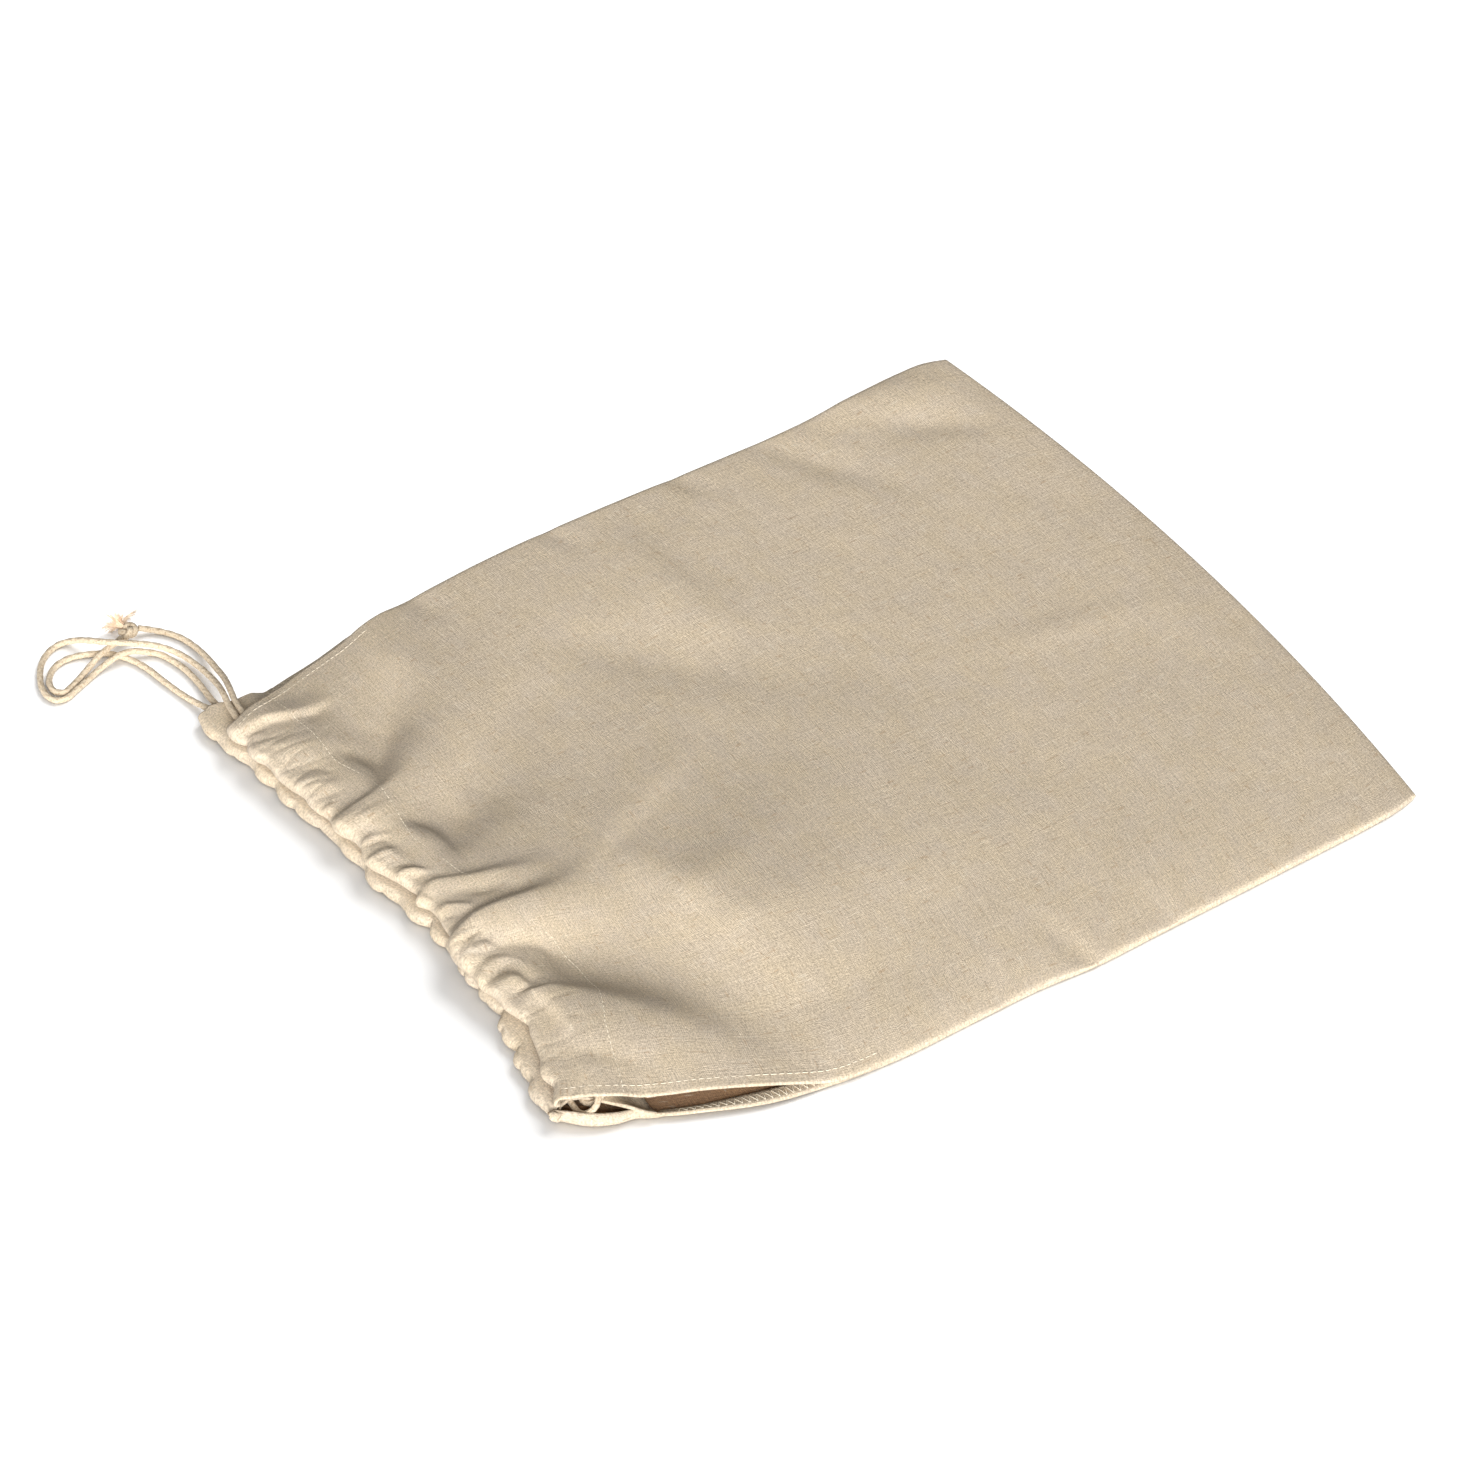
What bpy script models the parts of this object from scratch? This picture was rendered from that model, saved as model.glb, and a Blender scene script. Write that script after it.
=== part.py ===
"""Drawstring bread bag in plain linen, lying flat with its mouth drawn half shut.

The bag is one length of cloth folded at the closed end and seamed up both long sides. Each
open end is turned in to form a casing. One braided cord runs twice round the mouth through
both casings; its ends are knotted together and its middle is pulled out as a loop at the back
corner. +X runs from the mouth to the closed end, +Y from the front side to the back side.
The two halves of the cloth are two objects that meet along the fold at the closed end.

Sizes and tables are in millimetres; MM turns them into metres.
"""

import math

import bpy
import numpy as np

MM = 0.001

# Driving dimensions
CLOTH = 1.0  # thickness of the cloth
CASING = 33.0  # depth of each casing, from the mouth to its stitching
CORD = 2.75  # diameter of the cord
PLAY = 0.5  # room between the cord and the cloth
MOUTH_GAP = 1.2  # between the two casings
HEM_GAP = 1.8  # between the two layers of a casing at its stitching, middle to middle
BULGE = 12.5  # how far the closed end bows outward
HALF_WIDTH = 176.0  # half the width of the flat bag
CLOSED_END = 200.8  # x of the closed end at its corners
LENGTH = 406.0  # mean length from the mouth to the closed end
PUCKER_RISE = 1.5  # how far the pleats of the lower casing lift off the table
EDGE_INSET = 4.0  # width of the rolled strip along each side seam
TUBE_END = 17.0  # how far a casing's inner layer is drawn back from the front side
CHANNEL = 23.0  # depth of a casing's round part, before it narrows to its stitching
GATHER_SPREAD = 160.0  # distance over which the gathered cloth spreads to its full width
MOUTH_BAND = 90.0  # distance over which rows of cloth follow the mouth's own curve
PUCKER_REACH = 28.0  # how far the pleats of the lower half run back from the mouth
PUCKER_FULL = 8.0  # and how far they keep their full height
TUCKED_SLACK = 1.3  # cloth held in a lobe, as a multiple of its height
UPPER_ROLL = 0.7  # how far a lobe of the upper mouth bulges outward, as a part of its height
LOWER_ROLL = 0.8

# Mesh density: columns across one gathered lobe, and the distances behind the mouth of the rows,
# sparse over the flat body and close together near the mouth
CELLS = 3
UPPER_BODY_ROWS = (402, 396, 386, 370, 350, 328, 305, 280, 255, 230, 205, 182, 160, 140, 122, 106)
UPPER_MOUTH_ROWS = (90, 72, 56, 43, 33, 25, 17, 11, 6)
LOWER_BODY_ROWS = (398, 360, 300, 240, 180, 130, 90, 60, 40)
LOWER_MOUTH_ROWS = (26, 17, 9)
INNER_ROWS = (9, 16, 23, 28, 33)
ROLL_ANGLES = (45, 90, 135)

# Casing heights, to the middle of the cloth
LOWER_OUTER = CLOTH / 2
LOWER_CORD = CLOTH + PUCKER_RISE + PLAY + CORD / 2
LOWER_INNER = LOWER_CORD + CORD / 2 + PLAY + CLOTH / 2
UPPER_INNER = LOWER_INNER + CLOTH + MOUTH_GAP
UPPER_CORD = UPPER_INNER + CLOTH / 2 + PLAY + CORD / 2
UPPER_OUTER = UPPER_CORD + CORD / 2 + PLAY + CLOTH / 2

# Outline of the lower half: x, y of the front side, y of the back side
LOWER_SIDES = (
    (-214, -118, 150),
    (-206, -128, 156.5),
    (-195, -138, 153.5),
    (-185, -142.6, 154),
    (-177, -144, 155.4),
    (-167, -150.4, 157.4),
    (-151, -158, 160),
    (-128, -167, 166),
    (-101, -172, 170),
    (-74, -175.3, 173),
    (-30, -175.8, 175.5),
    (0, -176, 175.5),
    (28, -178.2, 175),
    (60, -178, 174),
    (120, -177.8, 174),
    (153, -177.6, 176.4),
    (176, -177.2, 178.2),
    (190, -176.4, 178),
    (203, -173.5, 174),
)

# Outline of the upper half, which pulls in further where the side seams end
UPPER_SIDES = (
    (-212, -124, 132),
    (-205, -126, 134),
    (-195, -131, 138.5),
    (-189, -134.8, 140),
    (-176, -141, 145),
    (-163, -146, 149.8),
    (-150, -150.5, 154),
    (-138, -155.5, 158),
    (-125, -161.5, 163.8),
    (-113, -167, 167.6),
    (-101, -171.8, 170),
) + LOWER_SIDES[9:]

# Mouth edge: y, x
LOWER_MOUTH = (
    (-128, -206),
    (-116, -204.8),
    (-90, -199),
    (-57, -193),
    (-36, -194.5),
    (-10, -193.5),
    (28, -198),
    (78, -202),
    (119, -206),
    (157, -211),
)
UPPER_MOUTH = (
    (-127, -204),
    (-106, -199),
    (-71, -191),
    (-42, -193),
    (-15, -191.5),
    (17, -193),
    (63, -198),
    (100, -203),
    (137, -208),
)

# Gathered lobes of the upper casing, front to back: y of the pleat where each lobe starts,
# how high the lobe stands, how far it runs into the bag
UPPER_LOBES = (
    (-127, 0.6, 12),
    (-112, 0.9, 14),
    (-100, 1.2, 14),
    (-88, 1.8, 20),
    (-74, 3.4, 26),
    (-65, 2.8, 20),
    (-57, 3.6, 24),
    (-48, 3.2, 22),
    (-39, 3.4, 20),
    (-30, 2.8, 16),
    (-22, 3.8, 34),
    (-12, 2.8, 16),
    (-3, 3.2, 20),
    (6, 2.4, 16),
    (14, 3.8, 30),
    (25, 2.6, 18),
    (36, 3.2, 26),
    (48, 2.4, 18),
    (60, 3.4, 28),
    (72, 1.8, 14),
    (84, 2.8, 22),
    (97, 1.8, 16),
    (109, 3.2, 26),
    (122, 4.2, 34),
)
UPPER_BACK = 137

# Gathered lobes of the lower casing, front to back: y of the pleat, how far the lobe bulges
LOWER_LOBES = (
    (-128, 1.2),
    (-115, 2.2),
    (-103, 2.0),
    (-92, 2.2),
    (-81, 2.6),
    (-68, 2.4),
    (-57, 2.8),
    (-48, 2.6),
    (-40, 2.6),
    (-31, 2.4),
    (-22, 2.6),
    (-12, 2.6),
    (0, 2.8),
    (14, 2.8),
    (27, 2.4),
    (40, 2.8),
    (57, 2.2),
    (72, 2.4),
    (86, 2.2),
    (100, 2.6),
    (114, 2.4),
    (128, 2.4),
    (142, 2.0),
)
LOWER_BACK = 157

# How far the lower half curls up along its sides: x, front side, back side
LOWER_LIPS = (
    (-214, 1.0, 0.0),
    (-200, 1.5, 0.0),
    (-186, 1.5, 0.0),
    (-172, 0.8, 0.3),
    (-150, 0.5, 0.8),
    (-110, 0.5, 0.8),
    (-90, 1.1, 1.0),
    (175, 1.1, 1.0),
    (195, 0.4, 0.4),
    (203, 0.1, 0.1),
)

# Height of the upper half along its length: x, height of its side edges, height of its crown,
# distance from the front edge and from the back edge over which it rises
UPPER_HEIGHTS = (
    (-215, UPPER_OUTER, UPPER_OUTER, 10, 10),
    (-196, UPPER_OUTER, UPPER_OUTER, 12, 12),
    (-188, UPPER_OUTER - 0.1, UPPER_OUTER, 12, 12),
    (-178, 11.6, 13.2, 14, 14),
    (-165, 10.0, 12.0, 18, 20),
    (-150, 8.6, 10.6, 24, 30),
    (-135, 7.3, 9.2, 30, 44),
    (-119, 6.0, 8.4, 34, 60),
    (-101, 3.5, 7.8, 36, 80),
    (-60, 3.05, 7.8, 40, 90),
    (0, 3.0, 7.2, 45, 90),
    (90, 3.0, 5.8, 50, 80),
    (160, 3.0, 4.5, 50, 60),
    (220, 3.0, 3.6, 50, 50),
)
FOLD_HEIGHT = 2.0  # of the upper half at the closed end
FOLD_SOFTNESS = 12.0  # distance over which it rises from the closed end

# Soft forms of the upper half: crests, and valleys with negative heights. Each row of a path is
# x, y, height, and how far the form reaches to its left and to its right
UPPER_FORMS = (
    # main crest from the mouth, falling gently to both sides away from it
    (
        (-208, -29, 2.4, 3, 11),
        (-196, -31, 3.6, 3, 14),
        (-180, -26, 4.2, 8, 19),
        (-160, -26, 4.2, 30, 24),
        (-137, -26, 4.0, 56, 24),
        (-115, -20, 3.2, 70, 24),
        (-94, -9, 2.2, 76, 22),
        (-72, 1, 1.4, 76, 20),
        (-49, 12, 0.8, 60, 20),
        (-26, 23, 0.3, 50, 20),
        (2, 36, 0, 40, 20),
    ),
    # shoulder where the hollow in front of it rises to the body
    (
        (-104, -14, 0.2, 60, 14),
        (-95, -34, 3.6, 110, 18),
        (-88, -56, 6.6, 130, 20),
        (-84, -82, 6.6, 120, 21),
        (-85, -108, 3.6, 80, 22),
        (-88, -136, 1.0, 40, 20),
        (-90, -160, 0, 30, 18),
    ),
    # crest of the front flap, over the valley
    (
        (-190, -79, 1.0, 3, 14),
        (-184, -74, 2.4, 3, 24),
        (-178, -73.5, 3.8, 5, 34),
        (-167, -82, 5.0, 9, 42),
        (-155, -96, 5.2, 13, 42),
        (-144, -110, 4.2, 15, 38),
        (-135, -126, 2.4, 15, 28),
        (-127, -142, 0.8, 14, 20),
        (-118, -156, 0, 12, 14),
    ),
    # valley between the two
    (
        (-190, -40, 0, 5, 4),
        (-178, -46, -2.8, 6, 9),
        (-165, -55, -4.6, 11, 14),
        (-148, -71, -4.8, 24, 20),
        (-131, -93, -3.4, 28, 22),
        (-117, -116, -1.6, 24, 18),
        (-106, -140, -0.5, 18, 12),
        (-98, -158, 0, 14, 8),
    ),
    # hollow behind the main crest
    (
        (-186, 22, 0, 8, 8),
        (-177, 27, -3.0, 10, 13),
        (-166, 33, -5.4, 14, 16),
        (-152, 42, -5.4, 18, 19),
        (-136, 54, -4.2, 20, 25),
        (-118, 66, -2.0, 20, 28),
        (-98, 76, 0, 18, 26),
    ),
    # pocket of the middle lobes
    (
        (-188, 66, -0.8, 6, 3),
        (-178, 72, -3.5, 9, 4.5),
        (-165, 84, -5.2, 14, 8),
        (-150, 100, -4.2, 16, 12),
        (-136, 119, -2.2, 16, 14),
        (-122, 138, 0, 14, 14),
    ),
    # and its thin ridge
    (
        (-200, 57, 2, 2.4, 12),
        (-189, 59.5, 3, 2.4, 14),
        (-177, 62, 3.5, 3.2, 18),
        (-165, 66, 3.5, 5, 22),
        (-152, 73, 2.8, 8, 24),
        (-138, 84, 1.5, 10, 24),
        (-118, 98, 0, 12, 22),
    ),
    # ridge along the body and the soft band it meets
    (
        (10, 62, 0, 16, 14),
        (7.4, 80, 1.1, 18, 12),
        (6.6, 110, 1.6, 20, 10),
        (6, 135, 1.2, 18, 10),
        (3.5, 165, 0, 14, 10),
    ),
    (
        (-62, 124, 0, 16, 14),
        (-46, 102, -1.6, 18, 14),
        (-24, 74, -2.2, 20, 16),
        (0, 48, -1.9, 22, 18),
        (28, 28, -1, 22, 20),
        (56, 14, 0, 20, 20),
    ),
)

# Lowest the upper half may sink: distance behind the mouth, height
UPPER_LOWEST = (
    (0, 13.6),
    (23, 13.6),
    (27, 11.0),
    (31, 8.2),
    (35, 5.8),
    (39, 4.0),
    (60, 2.8),
    (420, 1.7),
)

# Free cord, from where it leaves a casing: x, y, z
CORD_END_UPPER = (
    (-197.5, 138.8, 11.3),
    (-197, 144, 11.0),
    (-195.6, 151, 9.9),
    (-193.2, 160, 8.8),
    (-191, 169, 6.4),
    (-189.8, 178, 4.0),
    (-189.2, 187, 2.6),
    (-189.8, 197, 1.8),
    (-192.4, 207, 1.5),
    (-197, 214, 1.6),
    (-202, 218.4, 2.4),
    (-205.9, 220.2, 3.8),
)
CORD_LOOP = (
    (-201.2, 138.8, 11.3),
    (-200.6, 143, 11.0),
    (-199.4, 149, 9.8),
    (-197.4, 157.5, 8.9),
    (-195.6, 166, 6.6),
    (-194.8, 175, 4.2),
    (-195.4, 186, 2.6),
    (-198.2, 196, 2.8),
    (-203.2, 203, 4.2),
    (-208.6, 207, 5.6),
    (-214, 209.6, 6.9),
    (-219, 212.4, 7.7),
    (-223.6, 216, 7.7),
    (-228, 221.6, 6.4),
    (-231.2, 227, 4.2),
    (-234.8, 231, 2.2),
    (-239.6, 232.4, 1.5),
    (-245.8, 230.4, 1.5),
    (-251.2, 226, 1.5),
    (-255.8, 219, 1.5),
    (-258.8, 211, 1.5),
    (-258.9, 205, 1.5),
    (-256.8, 201.2, 1.5),
    (-253, 200.2, 1.5),
    (-246.8, 202.4, 1.5),
    (-239.7, 205.2, 1.5),
    (-232, 207.9, 2.1),
    (-226.2, 208.6, 3.6),
    (-220.2, 208.6, 4.6),
    (-214.4, 208.2, 3.5),
    (-209.4, 205.8, 2.2),
    (-205.2, 202.2, 1.5),
    (-202.6, 196, 1.5),
    (-200.6, 188, 1.5),
    (-199.9, 179, 1.5),
    (-200.2, 170, 1.9),
    (-200.9, 163.2, 3.0),
    (-201.3, 156.8, 4.4),
)
CORD_END_LOWER = (
    (-205.2, 156.8, 4.4),
    (-206.6, 163, 2.8),
    (-209.6, 175, 1.5),
    (-212, 186, 1.5),
    (-214.4, 198, 1.5),
    (-217.4, 206, 1.5),
    (-220.4, 211, 1.5),
    (-225, 216, 1.5),
    (-231, 219.4, 1.5),
    (-237, 221.6, 1.5),
    (-243, 222, 1.5),
    (-248.2, 220.2, 1.5),
    (-252.2, 216.6, 1.5),
    (-255, 211.2, 1.5),
    (-254.9, 206.6, 1.5),
    (-252, 204, 1.5),
    (-247, 205.6, 1.5),
    (-240.8, 208.6, 1.7),
    (-234.6, 211.4, 2.8),
    (-228.6, 213.7, 4.3),
    (-223.4, 215.2, 4.6),
    (-219, 216.6, 4.5),
    (-215.6, 218, 4.3),
)
FREE_CORDS = (
    ("cord_end_upper", CORD_END_UPPER),
    ("cord_loop", CORD_LOOP),
    ("cord_end_lower", CORD_END_LOWER),
)
CORD_STEP = 7.6  # spacing of the points of a free cord

# Strands in the casings: name, how far behind the mouth each runs in the upper casing and in the
# lower casing, at the back and at the front, and y where it turns from one casing into the other
CASING_STRANDS = (
    ("cord_round_outer", (6.8, 17.0), (5.8, 9.8), -129.0),
    ("cord_round_inner", (10.5, 21.6), (9.7, 14.6), -125.5),
)
STRAND_POINTS = 20  # along one casing
TURN_ANGLES = (22, 45, 67, 90, 113, 135, 158)  # points round the turn, in degrees

KNOT_AT = (-211.2, 220.0, 4.5)
KNOT_RADII = (4.3, 4.0, 4.2)
FRAY_ROOT = 2.2  # radius of the frayed tips where they leave the knot
FRAY_END = 5.4
FRAY_LENGTH = 10.5
FRAY_LOCKS = 9


def smooth(t):
    t = np.clip(t, 0.0, 1.0)
    return t * t * (3 - 2 * t)


def through(rows, column, at):
    """A smooth curve through one column of a table whose first column rises, read at each place."""
    place = np.array([row[0] for row in rows], float)
    value = np.array([row[column] for row in rows], float)
    slope = np.gradient(value, place)
    at = np.clip(at, place[0], place[-1])
    i = np.clip(np.searchsorted(place, at) - 1, 0, len(place) - 2)
    step = place[i + 1] - place[i]
    t = (at - place[i]) / step
    rise = value[i + 1] - value[i]
    start, end = slope[i] * step, slope[i + 1] * step
    return value[i] + t * start + t * t * (3 * rise - 2 * start - end) + t**3 * (start + end - 2 * rise)


def straight(rows, column, at):
    """One column of a table read at a place, in straight lines from row to row."""
    return np.interp(at, [row[0] for row in rows], [row[column] for row in rows])


def along_curve(points, count):
    """count points evenly spaced on a smooth curve through the given points."""
    points = np.array(points, float)
    length = np.concatenate([[0], np.cumsum(np.linalg.norm(np.diff(points, axis=0), axis=1))])
    rows = [(s, *p) for s, p in zip(length, points)]
    fine = np.linspace(0, length[-1], 20 * count)
    curve = np.stack([through(rows, 1 + k, fine) for k in range(points.shape[1])], axis=1)
    run = np.concatenate([[0], np.cumsum(np.linalg.norm(np.diff(curve, axis=0), axis=1))])
    even = np.linspace(0, run[-1], count)
    return np.stack([np.interp(even, run, curve[:, k]) for k in range(points.shape[1])], axis=1)


def closed_end(y):
    return CLOSED_END + BULGE * (1 - (y / HALF_WIDTH) ** 2)


def form(x, y, rows):
    """What one crest or valley adds to the height at each point."""
    path = along_curve([row[:2] for row in rows], 6 * len(rows))
    run = np.concatenate([[0], np.cumsum(np.hypot(*np.diff(path, axis=0).T))])
    posts = [run[np.hypot(*(path - row[:2]).T).argmin()] for row in np.array(rows)]
    height, left, right = (np.interp(run, posts, [row[k] for row in rows]) for k in (2, 3, 4))
    nearest = np.full(x.shape, np.inf)
    value = np.zeros(x.shape)
    reach = np.ones(x.shape)
    for k in range(len(path) - 1):
        (x0, y0), (dx, dy) = path[k], path[k + 1] - path[k]
        t = np.clip(((x - x0) * dx + (y - y0) * dy) / (dx * dx + dy * dy), 0, 1)
        off = np.hypot(x - x0 - t * dx, y - y0 - t * dy)
        side = dx * (y - y0) > dy * (x - x0)
        wide = np.where(side, left[k] + t * (left[k + 1] - left[k]), right[k] + t * (right[k + 1] - right[k]))
        closer = off < nearest
        nearest = np.where(closer, off, nearest)
        value = np.where(closer, height[k] + t * (height[k + 1] - height[k]), value)
        reach = np.where(closer, wide, reach)
    return value * np.exp(-((nearest / reach) ** 2))


def upper_base(x, y):
    """Height of the upper half without its folds and gathers."""
    edge, crown, front_spread, back_spread = (through(UPPER_HEIGHTS, k, x) for k in (1, 2, 3, 4))
    front = through(UPPER_SIDES, 1, x)
    back = through(UPPER_SIDES, 2, x)
    risen_front = 1 - np.exp(-np.maximum(y - front, 0) / front_spread)
    risen_back = 1 - np.exp(-np.maximum(back - y, 0) / back_spread)
    height = edge + (crown - edge) * risen_front * risen_back
    to_end = np.maximum(closed_end(y) - x, 0)
    return FOLD_HEIGHT + (height - FOLD_HEIGHT) * (1 - np.exp(-to_end / FOLD_SOFTNESS))


def upper_height(x, y, distance):
    """Height of the upper half without its gathers. It never sinks into what lies under it."""
    height = upper_base(x, y) + sum(form(x, y, rows) for rows in UPPER_FORMS)
    lowest = straight(UPPER_LOWEST, 1, distance)
    return lowest + 0.5 * np.logaddexp(0, (height - lowest) / 0.5)


class Gathers:
    """The mesh columns of a gathered edge: where each meets the mouth and how high its lobe stands there."""

    def __init__(self, lobes, last_y):
        starts = [row[0] for row in lobes] + [last_y]
        rises = np.array([row[1] for row in lobes])
        steps = np.arange(len(lobes) * CELLS + 1) / CELLS
        lobe = np.minimum(steps.astype(int), len(lobes) - 1)
        self.y = np.interp(steps, range(len(starts)), starts)
        self.full = np.sin(np.pi * (steps - lobe)).clip(0, 1) ** 0.8
        self.rise = rises[lobe] * self.full
        cloth = np.diff(starts) + TUCKED_SLACK * rises
        laid = np.concatenate([[0], np.cumsum(cloth)])
        self.share = np.interp(steps, range(len(starts)), laid) / laid[-1]
        self.across = (self.y - self.y[0]) / (self.y[-1] - self.y[0])
        last = len(steps) - 1
        self.coarse = sorted({0, 1, *range(CELLS, last, CELLS), last - 1, last})

    def place(self, distance, mouth, sides):
        """x and y of every column at a distance behind the mouth."""
        start = through(mouth, 1, self.y) + min(distance, MOUTH_BAND)
        end = closed_end((2 * self.share - 1) * HALF_WIDTH)
        x = start + (end - start) * max(distance - MOUTH_BAND, 0) / (LENGTH - MOUTH_BAND)
        across = self.across + (self.share - self.across) * smooth(distance / GATHER_SPREAD)
        front, back = through(sides, 1, x), through(sides, 2, x)
        y = front + (back - front) * across
        y[1], y[-2] = y[0] + EDGE_INSET, y[-1] - EDGE_INSET
        if distance >= LENGTH:
            x = closed_end(y)
        return x, y


def lobe_heights(gathers, distance):
    """Height of the upper half's lobes at a distance behind the mouth, each fading over its own reach."""
    reach = np.array([row[2] for row in UPPER_LOBES], float)
    column = np.minimum(np.arange(len(gathers.y)) // CELLS, len(reach) - 1)
    return gathers.rise * np.exp(-((distance / reach[column]) ** 2))


def drawn_back(y, depth):
    """The inner layer of a casing ends short of the front side, most of all in the middle of its depth."""
    most = TUBE_END * math.sin(math.pi * depth) ** 0.6 if 0 < depth < 1 else 0
    return y + most * np.exp(-(y - y[0]) / (2 * TUBE_END))


def narrowing(distance):
    """0 in the round part of a casing, 1 at its stitching."""
    return smooth((distance - CHANNEL) / (CASING - CHANNEL))


def upper_rows(gathers):
    """Rows of points over the upper half, from the closed end to the mouth and back inside its casing."""
    turn = (UPPER_OUTER - UPPER_INNER) / 2
    rows = []
    for distance in (LENGTH, *UPPER_BODY_ROWS, *UPPER_MOUTH_ROWS, turn):
        x, y = gathers.place(distance, UPPER_MOUTH, UPPER_SIDES)
        rows.append((x, y, upper_height(x, y, distance) + lobe_heights(gathers, distance)))
    x, y = gathers.place(turn, UPPER_MOUTH, UPPER_SIDES)
    outer = rows[-1][2] - gathers.rise
    middle = (outer + UPPER_INNER) / 2
    for angle in ROLL_ANGLES:
        s, c = math.sin(math.radians(angle)), math.cos(math.radians(angle))
        lobe = gathers.rise * (1 + c) / 2
        rows.append((x - (turn + UPPER_ROLL * gathers.rise) * s, y, middle + (outer - middle) * c + lobe))
    for distance in (turn, *INNER_ROWS):
        x, y = gathers.place(distance, UPPER_MOUTH, UPPER_SIDES)
        y = drawn_back(y, (distance - turn) / (CASING - turn))
        over = upper_height(x, y, distance) + lobe_heights(gathers, distance)
        rows.append((x, y, UPPER_INNER + (over - HEM_GAP - UPPER_INNER) * narrowing(distance)))
    return rows


def lower_rows(gathers):
    """Rows of points over the lower half, from the closed end to the mouth and back inside its casing."""
    turn = (LOWER_INNER - LOWER_OUTER) / 2
    rows = []
    for distance in (LENGTH, *LOWER_BODY_ROWS, *LOWER_MOUTH_ROWS, turn):
        x, y = gathers.place(distance, LOWER_MOUTH, LOWER_SIDES)
        fading = 1 - smooth((distance - PUCKER_FULL) / (PUCKER_REACH - PUCKER_FULL))
        height = LOWER_OUTER + PUCKER_RISE * (1 - gathers.full) * fading
        height[0] += straight(LOWER_LIPS, 1, x[0])
        height[-1] += straight(LOWER_LIPS, 2, x[-1])
        rows.append((x, y, height))
    outer = rows[-1][2]
    middle = (outer + LOWER_INNER) / 2
    for angle in ROLL_ANGLES:
        s, c = math.sin(math.radians(angle)), math.cos(math.radians(angle))
        rows.append((x - (turn + LOWER_ROLL * gathers.rise) * s, y, middle - (middle - outer) * c))
    for distance in (turn, *INNER_ROWS):
        x, y = gathers.place(distance, LOWER_MOUTH, LOWER_SIDES)
        y = drawn_back(y, (distance - turn) / (CASING - turn))
        height = LOWER_INNER + (LOWER_OUTER + HEM_GAP - LOWER_INNER) * narrowing(distance) + np.zeros(y.shape)
        height[0] += straight(LOWER_LIPS, 1, x[0]) * narrowing(distance)
        height[-1] += straight(LOWER_LIPS, 2, x[-1]) * narrowing(distance)
        rows.append((x, y, height))
    return rows


def cloth_sheet(name, gathers, rows, coarse_rows, material, collection):
    """A sheet through rows of points. The first rows are far from the gathers and need fewer columns."""
    columns = [gathers.coarse] * coarse_rows + [list(range(len(gathers.y)))] * (len(rows) - coarse_rows)
    vertices, index = [], []
    for (x, y, z), used in zip(rows, columns):
        index.append({c: len(vertices) + i for i, c in enumerate(used)})
        vertices += [(x[c] * MM, y[c] * MM, z[c] * MM) for c in used]
    faces = []
    for below, above in zip(index, index[1:]):
        shared = sorted(set(below) & set(above))
        for a, b in zip(shared, shared[1:]):
            side = [below[c] for c in range(a, b + 1) if c in below]
            other = [above[c] for c in range(a, b + 1) if c in above]
            faces.append(side + other[::-1])
    mesh = bpy.data.meshes.new(name)
    mesh.from_pydata(vertices, [], faces)
    mesh.update()
    sheet = bpy.data.objects.new(name, mesh)
    collection.objects.link(sheet)
    mesh.materials.append(material)
    mesh.shade_smooth()
    thick = sheet.modifiers.new("cloth thickness", "SOLIDIFY")
    thick.thickness = CLOTH * MM
    thick.offset = 0
    return sheet


def cord(name, route, material, collection):
    """A round cord through the given points."""
    curve = bpy.data.curves.new(name, "CURVE")
    curve.dimensions = "3D"
    curve.bevel_depth = CORD / 2 * MM
    curve.bevel_resolution = 2
    curve.use_fill_caps = True
    spline = curve.splines.new("POLY")
    spline.points.add(len(route) - 1)
    for point, place in zip(spline.points, np.array(route) * MM):
        point.co = (*place, 1)
    curve.materials.append(material)
    strand = bpy.data.objects.new(name, curve)
    collection.objects.link(strand)
    return strand


def route_length(points):
    return np.linalg.norm(np.diff(np.array(points), axis=0), axis=1).sum()


def casing_strand(upper_offsets, lower_offsets, front):
    """One strand's route: through the upper casing, round at the front and through the lower casing."""
    t = np.linspace(0, 1, STRAND_POINTS)
    passes = []
    for mouth, back, height, (at_back, at_front) in (
        (UPPER_MOUTH, UPPER_BACK + 1, UPPER_CORD, upper_offsets),
        (LOWER_MOUTH, LOWER_BACK - 1, LOWER_CORD, lower_offsets),
    ):
        y = back + (front - back) * t
        x = through(mouth, 1, y) + at_back + (at_front - at_back) * smooth((t - 0.6) / 0.4)
        passes.append(np.stack([x, y, np.full(len(t), height)], axis=1))
    upper, lower = passes
    middle, half = (upper[-1] + lower[-1]) / 2, (upper[-1] - lower[-1]) / 2
    out = np.array((0, -np.linalg.norm(half), 0))
    turn = [middle + half * math.cos(q) + out * math.sin(q) for q in np.radians(TURN_ANGLES)]
    return np.concatenate([upper, turn, lower[::-1]])


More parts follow.
